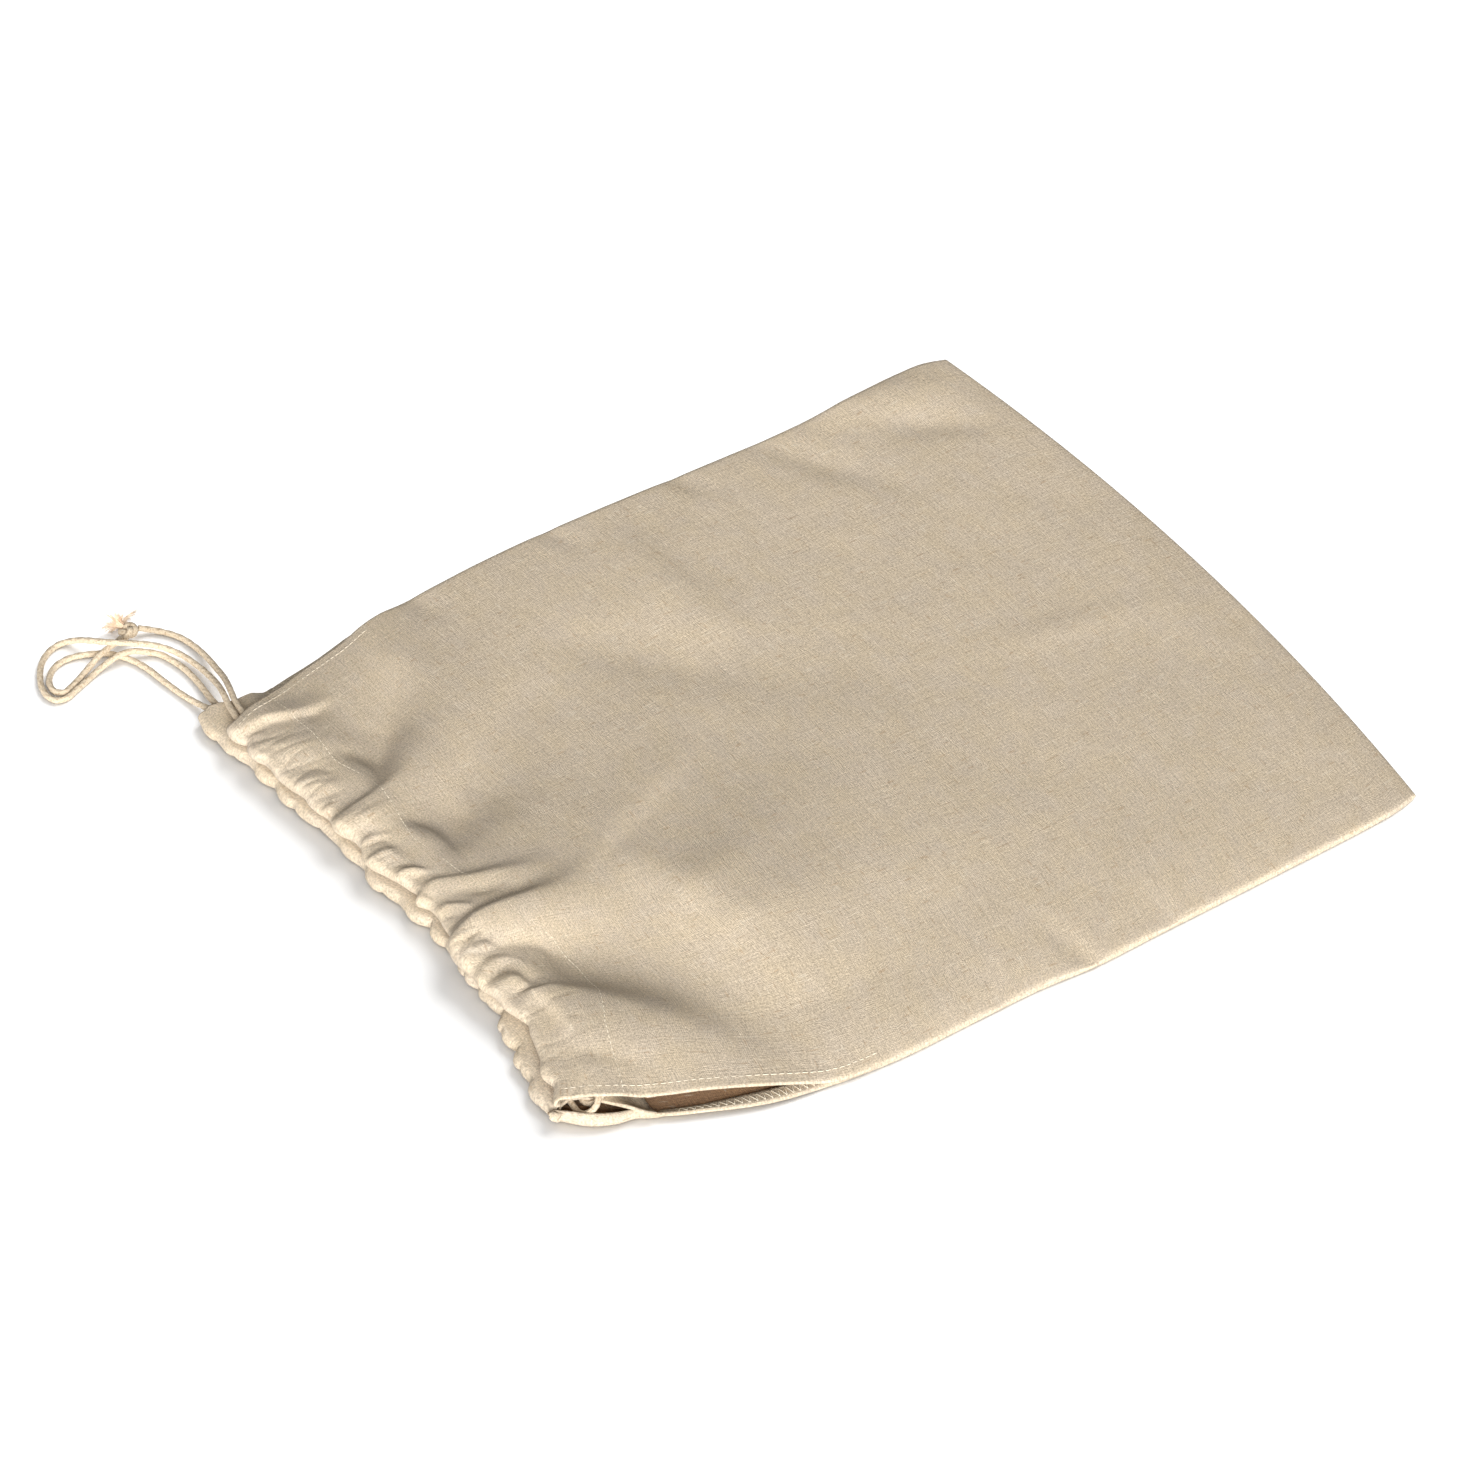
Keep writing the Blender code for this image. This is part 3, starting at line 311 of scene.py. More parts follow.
CORD_END_LOWER = (
    (-205.2, 156.8, 4.4), (-206.6, 163, 2.8), (-209.6, 175), (-212, 186), (-214.4, 198), (-217.4, 206),
    (-220.4, 211), (-225, 216), (-231, 219.4), (-237, 221.6), (-243, 222), (-248.2, 220.2),
    (-252.2, 216.6), (-255, 211.2), (-254.9, 206.6), (-252, 204), (-247, 205.6), (-240.8, 208.6, 1.7),
    (-234.6, 211.4, 2.8), (-228.6, 213.7, 4.3), (-223.4, 215.2, 4.6), (-219, 216.6, 4.5),
    (-215.6, 218, 4.3),
)

# What the cloth really is
LINEN = 0.7  # thickness
WIDTH = 350.0  # flat width of the bag
LOWER_SEAM = 1.2  # height of each half where the two meet along a side seam and the closed end
UPPER_SEAM = 2.0
LOWER_LIFT = 0.4  # middle of the lower half above the table
RIM = 2.4  # how far in from a side seam the cloth starts to curve to the other half
UPPER_FOLD = 3.2  # and how far in from the closed end
LOWER_FOLD = 2.6
STITCHED_GAP = 1.2  # between the layers of a casing at its stitching, middle to middle
HEM_DROP = 1.05  # between a hem's two layers, middle to middle
RIM_PLACES = (0.0, 0.35, 0.9, 1.8, 3.0, 4.6, 6.4, 8.0)  # columns near each side edge
RIM_COLUMNS = len(RIM_PLACES)
HEM_COLUMNS = RIM_COLUMNS - 2  # of a hem or seam allowance turned in along a side
FOLD_PLACES = (0, 0.3, 0.9, 1.8, 3.0, 4.6, 7)  # rows near the closed end
INNER_DEPTHS = (6, 10, 14, 18, 22, 25, 28, 31, CASING, CASING + 3)  # rows of a casing's inner layer
VENT_END = -112.0  # x where the side seams start
VENT_FADE = 14.0
UPPER_COLUMN = 0.93  # width of a column of the upper half at the mouth
LOWER_PLACES = (0.0, 0.1, 0.25, 0.42, 0.58, 0.75, 0.9)  # columns within a lobe of the lower half
UPPER_NEAR = 70  # rows of each half's outer face near the mouth
LOWER_NEAR = 21
UPPER_SKIP = 3  # one column in this many is used over the body
LOWER_SKIP = 2
MERGE = 0.3  # how softly two lobes of the mouth meet
EDGE_SOFT = 9.0  # distance over which the upper casing rounds over toward its edge
EDGE_DROP = 0.8  # how far it falls there
LOBE_DROP = 0.25  # and how much more, as a share of a lobe's height
SCALLOP_REACH = 7.0  # how far in from the mouth the columns follow the scallops of its edge
EDGE_BAND = 9.0  # beside each side edge, which has columns of its own
LIP_LEAN = 20  # slope, in degrees, at which the upper half goes over into its rounded mouth
LIP_REACH = 3.6  # how far in from a side the lower half's curled-up lip reaches
LIP_ARC = 8.0  # width of cloth in a rolled lip
LIP_TURN = 172  # how far it rolls, in degrees
ROLL_END = -124.0  # x where the roll starts to open
PLEAT_WIDTH = 5.5  # of the small pleats at the mouth
PLEAT_DEPTH = 0.8
PLEAT_REACH = 17.0
LOBE_POWER = 0.62  # how full a lobe is toward its pleats

STITCH = 3.0  # pitch of the straight stitch
THREAD = 0.2  # radius of the sewing thread
STITCH_SINK = 0.2  # how deep a stitch may sink into the cloth
# Casing's stitching on the gathered upper cloth: how far across, and how far behind the mouth
STITCH_LINE = (
    (0, 24), (14, 26), (40, 28), (62, 33), (90, 37), (112, 36), (130, 27), (160, 24), (190, 21),
    (214, 18), (240, 23), (262, 26), (285, 21), (310, 24), (350, 24),
)

VENT_LINE = 5.6  # how far in from the side the vents' stitching runs
VENT_STITCHES = (126, 84)  # and how far behind the mouth it starts, front and back
OVERLOCK_LINES = (1.2, 7.6)  # how far in from the side the zigzag turns
OVERLOCK_SPANS = ((44, 118), (3, 96))  # and where it shows behind the mouth, front and back
OVERLOCK_PITCH = 1.5

CORD_ROW = 0.5  # distance between the rings of points along a cord
CORD_PLACES = 40  # places that tell where a cord runs
BRAID_STRANDS = 4  # each way round the cord
BRAID_PITCH = 5.2
BRAID_RELIEF = 0.11  # share of the cord's radius
LINEN_COLOUR = (0.554, 0.455, 0.326)
PAINTED_SHADE_COLOUR = (0.30, 0.175, 0.09)  # painted shade: darker colour given to the cloth's inside face, for the shade inside the bag and its vents
BRAID_COLOUR = (0.60, 0.495, 0.36)
WEAVE = 0.7  # pitch of the linen's threads
# Threads of the linen: size of the noise across them and along them, its seed, and how much they tint
THREADS = ((0.8, 5, 3.0, 0.20), (5, 0.8, 11.0, 0.20), (1.3, 24, 23.0, 0.14), (24, 1.3, 37.0, 0.14))
# Its mottling, fine and broad: size, seed, detail, how much it tints
MOTTLING = ((0.85, 29.0, 2.0, 1.35), (60, 51.0, 2.0, 0.10))
COOL_TINT = (0.985, 1.0, 1.06, 1)  # of its cooler patches
# Its flecks: width, length, seeds of the two directions, range of the noise, share, colour
FLECKS = (
    (1.1, 7, (67.0, 71.0), (0.76, 0.80), 0.36, (0.34, 0.21, 0.11, 1)),
    (1.2, 9, (83.0, 97.0), (0.745, 0.79), 0.24, (0.80, 0.72, 0.58, 1)),
)

KNOT_AT = (-211.2, 220.0, 4.5)
KNOT_CORD = 1.42  # radius of the cord in the knot, pressed flat by it
TUFT_ROOT = (-211.6, 223.4, 4.6)
TUFT_CENTRE = (-212.0, 228.0, 5.0)
PETALS = 9
FIBRES = 22  # in each petal
PETAL_LENGTH = 9.6
FIBRE = 0.22  # radius of a fibre at its root

CAMERA_AT = (-883.0, -1279.1, 1518.0)
CAMERA_AIM = (0.3961, 0.5975, -0.6972)
CAMERA_LENS = 122.78  # on a 36 mm sensor
FLOOR = ((-3000, -3000, 0), (3000, -3000, 0), (3000, 3000, 0), (-3000, 3000, 0))
SKY = 0.15  # light from all round
# Softboxes: name, strength, size in degrees, height in degrees, side it stands on, what it lights
SOFTBOXES = (
    ("key_softbox", 6.05, 40, 24, (-0.5, -0.866), "bag"),
    ("top_softbox", 0.5, 60, 68, (0.75, 0.66), "bag"),
    ("floor_dome", 2.0, 180, 90, (1, 0), "floor"),
    ("floor_softbox", 3.0, 44, 42, (0.97, 0.24), "floor"),
)


def smooth(t):
    t = np.clip(t, 0.0, 1.0)
    return t * t * (3 - 2 * t)


def through(rows, column, at):
    """A smooth curve through one column of a table whose first column rises, read at each place."""
    place = np.array([row[0] for row in rows], float)
    value = np.array([row[column] for row in rows], float)
    slope = np.gradient(value, place)
    at = np.clip(at, place[0], place[-1])
    i = np.clip(np.searchsorted(place, at) - 1, 0, len(place) - 2)
    step = place[i + 1] - place[i]
    t = (at - place[i]) / step
    rise = value[i + 1] - value[i]
    start, end = slope[i] * step, slope[i + 1] * step
    return value[i] + t * start + t * t * (3 * rise - 2 * start - end) + t**3 * (start + end - 2 * rise)


def straight(rows, column, at):
    """One column of a table read at a place, in straight lines from row to row."""
    return np.interp(at, [row[0] for row in rows], [row[column] for row in rows])


def length_along(points):
    """How far along a path each of its points lies."""
    return np.concatenate([[0], np.cumsum(np.linalg.norm(np.diff(points, axis=0), axis=1))])


def along_curve(points, count):
    """count points evenly spaced on a smooth curve through the given points."""
    points = np.array(points, float)
    length = length_along(points)
    rows = [(s, *p) for s, p in zip(length, points)]
    fine = np.linspace(0, length[-1], 20 * count)
    curve = np.stack([through(rows, 1 + k, fine) for k in range(points.shape[1])], axis=1)
    run = length_along(curve)
    even = np.linspace(0, run[-1], count)
    return np.stack([np.interp(even, run, curve[:, k]) for k in range(points.shape[1])], axis=1)


def closed_end(y):
    return CLOSED_END + BULGE * (1 - (y / HALF_WIDTH) ** 2)


def form(x, y, rows):
    """What one crest, valley or crease adds to the height at each point."""
    rows = np.array(rows, float)
    path = along_curve(rows[:, :2], 6 * len(rows))
    run = length_along(path)
    posts = [run[np.hypot(*(path - row[:2]).T).argmin()] for row in rows]
    height, left, right = (np.interp(run, posts, rows[:, k]) for k in (2, 3, 4))
    margin = FADED * rows[:, 3:].max()
    low, high = path.min(axis=0) - margin, path.max(axis=0) + margin
    near = (x > low[0]) & (x < high[0]) & (y > low[1]) & (y < high[1])
    px, py = x[near], y[near]
    offs, heights, reaches = [], [], []
    for k in range(len(path) - 1):
        (x0, y0), (dx, dy) = path[k], path[k + 1] - path[k]
        t = np.clip(((px - x0) * dx + (py - y0) * dy) / (dx * dx + dy * dy), 0, 1)
        level, to_left, to_right = (a[k] + t * (a[k + 1] - a[k]) for a in (height, left, right))
        offs.append(np.hypot(px - x0 - t * dx, py - y0 - t * dy))
        heights.append(level)
        reaches.append(np.where(dx * (py - y0) > dy * (px - x0), to_left, to_right))
    offs, heights, reaches = np.array(offs), np.array(heights), np.array(reaches)
    weight = np.exp((offs.min(axis=0) - offs) / PATH_BLEND)
    weight /= weight.sum(axis=0)
    result = np.zeros(x.shape)
    result[near] = (weight * heights * np.exp(-((offs / reaches) ** 2))).sum(axis=0)
    return result


def form_sum(x, y, table):
    return sum(form(x, y, rows) for rows in table)


def lobe_height(x, y):
    """The gathered lobes, each showing where it stands higher than its neighbours."""
    together = sum(np.exp(form(x, y, rows) / MERGE) - 1 for rows in MOUTH_LOBES)
    return MERGE * np.log1p(np.maximum(together, 0))


def upper_base(x, y):
    """Height of the upper half without its folds and gathers."""
    edge, crown, front_spread, back_spread = (through(UPPER_HEIGHTS, k, x) for k in (1, 2, 3, 4))
    front = through(UPPER_SIDES, 1, x)
    back = through(UPPER_SIDES, 2, x)
    risen_front = 1 - np.exp(-np.maximum(y - front, 0) / front_spread)
    risen_back = 1 - np.exp(-np.maximum(back - y, 0) / back_spread)
    height = edge + (crown - edge) * risen_front * risen_back
    to_end = np.maximum(closed_end(y) - x, 0)
    return FOLD_HEIGHT + (height - FOLD_HEIGHT) * (1 - np.exp(-to_end / FOLD_SOFTNESS))


def drawn_back(y, depth):
    """The inner layer of a casing ends short of the front side, most of all a third of the way into it."""
    most = TUBE_END * math.sin(math.pi * depth**0.62) ** 1.5 if 0 < depth < 1 else 0
    return y + most * np.exp(-(y - y[0]) / (2 * TUBE_END))


def narrowing(distance):
    """0 in the round part of a casing, 1 at its stitching."""
    return smooth((distance - CHANNEL) / (CASING - CHANNEL))


class Half:
    """The columns of one half of the cloth, each known by the y where it meets the mouth."""

    def __init__(self, lobes, last_y, places, mouth, edge):
        starts = np.array([row[0] for row in lobes] + [last_y], float)
        self.rises = np.array([row[1] for row in lobes])
        if places:
            inner = [a + (b - a) * p for a, b in zip(starts, starts[1:]) for p in places]
        else:
            inner = np.arange(starts[0] + EDGE_BAND, last_y - EDGE_BAND, UPPER_COLUMN)
        inner = [m for m in inner if starts[0] + EDGE_BAND < m < last_y - EDGE_BAND]
        rim = np.array(RIM_PLACES)
        self.mouth_y = np.concatenate([starts[0] + rim, inner, last_y - rim[::-1]])
        self.count = len(self.mouth_y)
        lobe = np.clip(np.searchsorted(starts, self.mouth_y, side="right") - 1, 0, len(lobes) - 1)
        phase = (self.mouth_y - starts[lobe]) / (starts[lobe + 1] - starts[lobe])
        self.lobe = lobe
        self.full = np.sin(np.pi * phase.clip(0, 1)).clip(0, 1) ** LOBE_POWER
        laid = np.concatenate([[0], np.cumsum(np.diff(starts) + TUCKED_SLACK * self.rises)])
        self.share = np.interp(self.mouth_y, starts, laid / laid[-1])
        self.across = (self.mouth_y - starts[0]) / (last_y - starts[0])
        self.mouth = through(mouth, 1, self.mouth_y)
        self.scallop = through(edge, 1, self.mouth_y) - self.mouth

    def place(self, distance, sides):
        """x and y of every column at a distance behind the mouth."""
        scallop = self.scallop * math.exp(-((distance / SCALLOP_REACH) ** 2))
        start = self.mouth + min(distance, MOUTH_BAND) + scallop
        end = closed_end((2 * self.share - 1) * HALF_WIDTH)
        x = start + (end - start) * max(distance - MOUTH_BAND, 0) / (LENGTH - MOUTH_BAND)
        across = self.across + (self.share - self.across) * smooth(distance / GATHER_SPREAD)
        front, back = through(sides, 1, x), through(sides, 2, x)
        y = front + (back - front) * across
        rim = np.array(RIM_PLACES)
        y[:RIM_COLUMNS] = front[:RIM_COLUMNS] + rim
        y[-RIM_COLUMNS:] = back[-RIM_COLUMNS:] - rim[::-1]
        if distance >= LENGTH:
            x = closed_end(y)
        return x, y


def seam_curve(half, x):
    """How far each column has curved down to a side seam: 1 at the edge, 0 inside, and 0 at the vents."""
    inset = np.full(half.count, RIM)
    inset[:RIM_COLUMNS] = RIM_PLACES
    inset[-RIM_COLUMNS:] = RIM_PLACES[::-1]
    s = np.clip(inset / RIM, 0, 1)
    return (1 - np.sqrt(1 - (1 - s) ** 2)) * smooth((x - VENT_END) / VENT_FADE)


def end_curve(x, y, reach):
    """How far the cloth has curved round the fold at the closed end."""
    s = np.clip((closed_end(y) - x) / reach, 0, 1)
    return 1 - np.sqrt(1 - (1 - s) ** 2)


def ripple(x, y, scale, seed):
    """Smooth noise over the plan, between -1 and 1."""
    flat = [noise.noise(Vector((a / scale, b / scale, seed))) for a, b in zip(x.ravel(), y.ravel())]
    return np.array(flat).reshape(x.shape)


def unevenness(x, y):
    """The slight waviness of washed linen."""
    broad = 0.5 * ripple(x, y * 0.8, 52, 3.1) + 0.22 * ripple(x * 0.8, y, 23, 7.7)
    fine = 0.07 * ripple(x, y, 9, 1.3)
    return broad + fine


def fine_pleats(x, y):
    """Depth of the small pleats between the lobes, which run back from the mouth."""
    turn = ripple((x + 0.2 * y) / 5, y, PLEAT_WIDTH, 5.3)
    return PLEAT_DEPTH * np.maximum(1 - np.abs(turn) / 0.16, 0)


def upper_height(x, y, distance):
    """Height of the upper half at points of the plan, and distance is theirs behind the mouth."""
    z = upper_base(x, y) + form_sum(x, y, UPPER_FORMS)
    lobes = lobe_height(x, y)
    z = z + lobes + form_sum(x, y, MOUTH_CREASES)
    z = z - (EDGE_DROP + LOBE_DROP * lobes) * np.maximum(1 - distance / EDGE_SOFT, 0) ** 2
    z = z - fine_pleats(x, y) * np.exp(-((distance / PLEAT_REACH) ** 2))
    # washed linen is calmer along its seams and in its stitched casing
    to_end = np.maximum(closed_end(y) - x, 0)
    inside = np.minimum(y - through(UPPER_SIDES, 1, x), through(UPPER_SIDES, 2, x) - y)
    calm = smooth(inside / 12) * smooth(to_end / 14) * (0.35 + 0.65 * smooth((distance - 20) / 40))
    z = z + unevenness(x, y) * (0.12 + 0.88 * calm)
    lowest = through(UPPER_LOWEST, 1, distance - LOWEST_SHIFT * (0.5 + ripple(x, y, 17, 2.2)))
    return lowest + LOWEST_SOFT * np.logaddexp(0, (z - lowest) / LOWEST_SOFT)


def upper_points(half):
    """Rows of points over the upper half, from the closed end to the mouth and back inside its casing."""
    turn = (UPPER_OUTER - UPPER_INNER) / 2
    body = np.concatenate([LENGTH - np.array(FOLD_PLACES), np.arange(396, 88, -3.3)])
    near = np.concatenate([np.arange(86, 42, -1.5), np.arange(41.4, turn + 0.6, -0.95)])
    distance = np.array([*body, *near, turn])
    plan = [half.place(d, UPPER_SIDES) for d in distance]
    x, y = (np.array([row[k] for row in plan]) for k in (0, 1))
    z = upper_height(x, y, distance[:, None])
    seam = np.array([np.maximum(seam_curve(half, a), end_curve(a, b, UPPER_FOLD)) for a, b in zip(x, y)])
    z = z + (UPPER_SEAM - z) * seam
    rows = list(zip(x, y, z))
    places = list(distance)
    x, y, outer = rows[-1]
    # the rounded mouth starts on this slope, so that it carries on the casing's own
    lean = math.radians(LIP_LEAN)
    round_x = turn / (1 - math.sin(lean))
    middle = (outer + UPPER_INNER * math.cos(lean)) / (1 + math.cos(lean))
    for angle in (*range(32, 145, 16), 162):
        s, c = math.sin(math.radians(angle)), math.cos(math.radians(angle))
        forward = round_x * (s - math.sin(lean)) if angle < 90 else turn * s
        upper = (outer - middle) / math.cos(lean) if c > 0 else middle - UPPER_INNER
        rows.append((x - forward, y, middle + upper * c))
        places.append(turn * (1 - angle / 90))
    for depth in (turn, *INNER_DEPTHS):
        x, y = half.place(depth, UPPER_SIDES)
        y = drawn_back(y, (depth - turn) / (CASING - turn))
        over = upper_height(x, y, np.full(x.shape, float(depth)))
        rows.append((x, y, UPPER_INNER + (over - STITCHED_GAP - UPPER_INNER) * narrowing(depth)))
        places.append(-depth)
    return np.array([np.stack(row, axis=1) for row in rows]), np.array(places), len(body)


def lower_height(half, x, y, distance):
    fading = 1 - smooth((distance - PUCKER_FULL) / (PUCKER_REACH - PUCKER_FULL))
    z = LOWER_LIFT + PUCKER_RISE * (1 - half.full) * fading
    curl = np.exp(-((np.minimum(y - y[0], y[-1] - y) / LIP_REACH) ** 1.5))
    lip = np.where(y < 0, straight(LOWER_LIPS, 1, x), straight(LOWER_LIPS, 2, x))
    return z + lip * curl * (1 - smooth((x - VENT_END) / VENT_FADE))


def curled(x, y, z):
    """Rolls a high lip of the front side up and back over itself."""
    rim = slice(0, RIM_COLUMNS)
    inset = np.array(RIM_PLACES)
    lip = straight(LOWER_LIPS, 1, x[rim])
    share = smooth((lip - 1.6) / 2) * (1 - smooth((x[rim] - ROLL_END) / 10))
    radius = lip / 2
    angle = math.radians(LIP_TURN) * np.clip(1 - inset / LIP_ARC, 0, 1)
    rolled_y = y[0] + radius * (1 - np.sin(angle)) + np.maximum(inset - LIP_ARC, 0)
    rolled_z = LOWER_LIFT + radius * (1 - np.cos(angle))
    y, z = y.copy(), z.copy()
    y[rim] += share * (rolled_y - y[rim])
    z[rim] += share * (rolled_z - z[rim])
    return y, z


def lower_points(half):
    """Rows of points over the lower half, from the closed end to the mouth and back inside its casing."""
    turn = (LOWER_INNER - LOWER_OUTER) / 2
    body = np.concatenate([LENGTH - np.array(FOLD_PLACES), np.arange(390, 44, -8.0)])
    near = np.arange(43, turn + 1, -2.0)
    rows, places = [], []
    for distance in (*body, *near, turn):
        x, y = half.place(distance, LOWER_SIDES)
        z = lower_height(half, x, y, distance)
        y, z = curled(x, y, z)
        seam = np.maximum(seam_curve(half, x), end_curve(x, y, LOWER_FOLD))
        z = z + (LOWER_SEAM - z) * seam
        rows.append((x, y, z))
        places.append(distance)
    x, y, outer = rows[-1]
    middle = (outer + LOWER_INNER) / 2
    # pits between the lobes, of uneven depth
    pit = half.rises[half.lobe] * (1 - half.full) * smooth((y - y[0]) / 12) * smooth((y[-1] - y) / 12)
    pit = pit * np.clip(0.55 + 1.4 * ripple(y, 0 * y, 11, 9.1), 0.1, 1.1)
    for angle in range(15, 180, 15):
        s, c = math.sin(math.radians(angle)), math.cos(math.radians(angle))
        rows.append((x - (turn - 0.9 * pit) * s, y, middle - (middle - outer) * c))
        places.append(turn * (1 - angle / 90))
    for distance in (turn, *INNER_DEPTHS):
        x, y = half.place(distance, LOWER_SIDES)
        over = lower_height(half, x, y, distance)
        y = drawn_back(y, (distance - turn) / (CASING - turn))
        z = LOWER_INNER + (over + STITCHED_GAP - LOWER_INNER) * narrowing(distance)
        rows.append((x, y, z))
        places.append(-distance)
    return np.array([np.stack(row, axis=1) for row in rows]), np.array(places), len(body)


def normals_of(points):
    """Unit normals of a grid of points, pointing up on the upper half."""
    along = np.gradient(points, axis=0)
    across = np.gradient(points, axis=1)
    n = np.cross(across, along)
    return n / np.maximum(np.linalg.norm(n, axis=2, keepdims=True), 1e-9)


def with_hems(points, side):
    """The grid with a hem or seam allowance turned in along both sides. side is 1 where inside is below."""
    n = normals_of(points) * side
    drop = points - HEM_DROP * n
    body = points.copy()
    body[:, :1] -= 0.5 * HEM_DROP * n[:, 1:2]
    body[:, -1:] -= 0.5 * HEM_DROP * n[:, -2:-1]
    front = drop[:, RIM_COLUMNS - 1 : 1 : -1]
    back = drop[:, -3 : -RIM_COLUMNS - 1 : -1]
    return np.concatenate([front, body, back], axis=1)


def hem_share(half):
    """Cloth coordinate across the width for every column, hems included."""
    turned = np.array(RIM_PLACES)[:1:-1]
    return np.concatenate([-turned, half.share * WIDTH, WIDTH + turned[::-1]])


# ---- meshes

def shown(name, vertices, faces, material, rounded=True):
    """A mesh object from points in millimetres."""
    mesh = bpy.data.meshes.new(name)
    mesh.from_pydata([tuple(MM * c for c in v) for v in vertices], [], faces)
    mesh.update()
    mesh.materials.append(material)
    if rounded:
        mesh.shade_smooth()
    piece = bpy.data.objects.new(name, mesh)
    bpy.context.scene.collection.objects.link(piece)
    return piece


def frames_along(path):
    """Two cross directions at each point of a path, turning as little as possible."""
    path = np.array(path, float)
    tangent = np.gradient(path, axis=0)
    tangent /= np.linalg.norm(tangent, axis=1, keepdims=True)
    side = np.cross(tangent[0], (0, 0, 1.0))
    if np.linalg.norm(side) < 0.1:
        side = np.cross(tangent[0], (0, 1.0, 0))
    sides = [side / np.linalg.norm(side)]
    for t in tangent[1:]:
        side = sides[-1] - t * np.dot(sides[-1], t)
        sides.append(side / np.linalg.norm(side))
    sides = np.array(sides)
    return sides, np.cross(tangent, sides)


def tube(path, radii, sides, relief=None):
    """Vertices and faces of a capped tube. relief(s, angle) is its surface's height, in radii."""
    path = np.array(path, float)
    across, up = frames_along(path)
    run = length_along(path)
    angle = np.arange(sides) * math.tau / sides
    radius = np.broadcast_to(np.reshape(radii, (-1, 1)), (len(path), sides)).copy()
    if relief is not None:
        radius *= 1 + relief(run[:, None], angle[None, :])
    ring = across[:, None] * np.cos(angle)[None, :, None] + up[:, None] * np.sin(angle)[None, :, None]
    points = path[:, None] + ring * radius[:, :, None]
    n = len(path)
    k = np.arange(sides)
    base = np.arange(n - 1)[:, None] * sides
    a, b = base + k, base + (k + 1) % sides
    quads = np.stack([a, b, b + sides, a + sides], axis=2).reshape(-1, 4)
    faces = [tuple(f) for f in quads.tolist()]
    faces.append(tuple(range(sides))[::-1])
    faces.append(tuple((n - 1) * sides + i for i in range(sides)))
    return points.reshape(-1, 3), faces


def joined(parts):
    """One list of vertices and one of faces from many."""
    vertices, faces, base = [], [], 0
    for points, polygons in parts:
        vertices += [tuple(p) for p in np.asarray(points).tolist()]
        faces += [tuple(base + i for i in polygon) for polygon in polygons]
        base += len(points)
    return vertices, faces


def braided(s, angle):
    """Relief of a round braid: two families of strands crossing in diamonds."""
    turn = math.tau / BRAID_PITCH
    one = np.cos(BRAID_STRANDS * angle + turn * s)
    two = np.cos(BRAID_STRANDS * angle - turn * s)
    over = np.maximum(one, two)
    return BRAID_RELIEF * (over - 0.55) + 0.012 * np.sin(s * 0.9 + 2 * angle)


# ---- materials

class Nodes:
    """A short way to write a material's nodes."""

    def __init__(self, name):
        self.material = bpy.data.materials.new(name)
        self.material.use_nodes = True
        self.tree = self.material.node_tree
        self.shader = self.tree.nodes["Principled BSDF"]

    def add(self, kind, inputs=(), **settings):
        node = self.tree.nodes.new(kind)
        for key, value in settings.items():
            setattr(node, key, value)
        for key, value in dict(inputs).items():
            self.put(node.inputs[key], value)
        return node

    def put(self, socket, value):
        if isinstance(value, bpy.types.NodeSocket):
            self.tree.links.new(value, socket)
        else:
            socket.default_value = value

    def math(self, operation, *values, kind="ShaderNodeMath"):
        node = self.add(kind, operation=operation)
        for socket, value in zip(node.inputs, values):
            self.put(socket, value)
        return node.outputs[0]

    def vector(self, operation, *values):
        return self.math(operation, *values, kind="ShaderNodeVectorMath")

    def noise(self, vector, detail):
        inputs = {"Vector": vector, "Scale": 1.0, "Detail": detail}
        return self.add("ShaderNodeTexNoise", inputs).outputs["Fac"]

    def ramp(self, value, low, high):
        """0 up to the low value, 1 from the high one on."""
        inputs = {"Value": value, "From Min": low, "From Max": high}
        return self.add("ShaderNodeMapRange", inputs, clamp=True).outputs["Result"]

    def mix(self, factor, a, b, blend="MIX"):
        node = self.add("ShaderNodeMix", data_type="RGBA", blend_type=blend)
        self.put(node.inputs["Factor"], factor)
        self.put(node.inputs[6], a)
        self.put(node.inputs[7], b)
        return node.outputs[2]

    def finish(self, colour, roughness, height=None, depth=0.0, strength=0.0, sheen=0.0, specular=0.25):
        settings = {
            "Base Color": colour, "Roughness": roughness, "Specular IOR Level": specular,
            "Sheen Weight": sheen, "Sheen Roughness": 0.5,
        }
        for key, value in settings.items():
            self.put(self.shader.inputs[key], value)
        if height is not None:
            inputs = {"Strength": strength, "Distance": depth, "Height": height}
            self.put(self.shader.inputs["Normal"], self.add("ShaderNodeBump", inputs).outputs["Normal"])
        return self.material


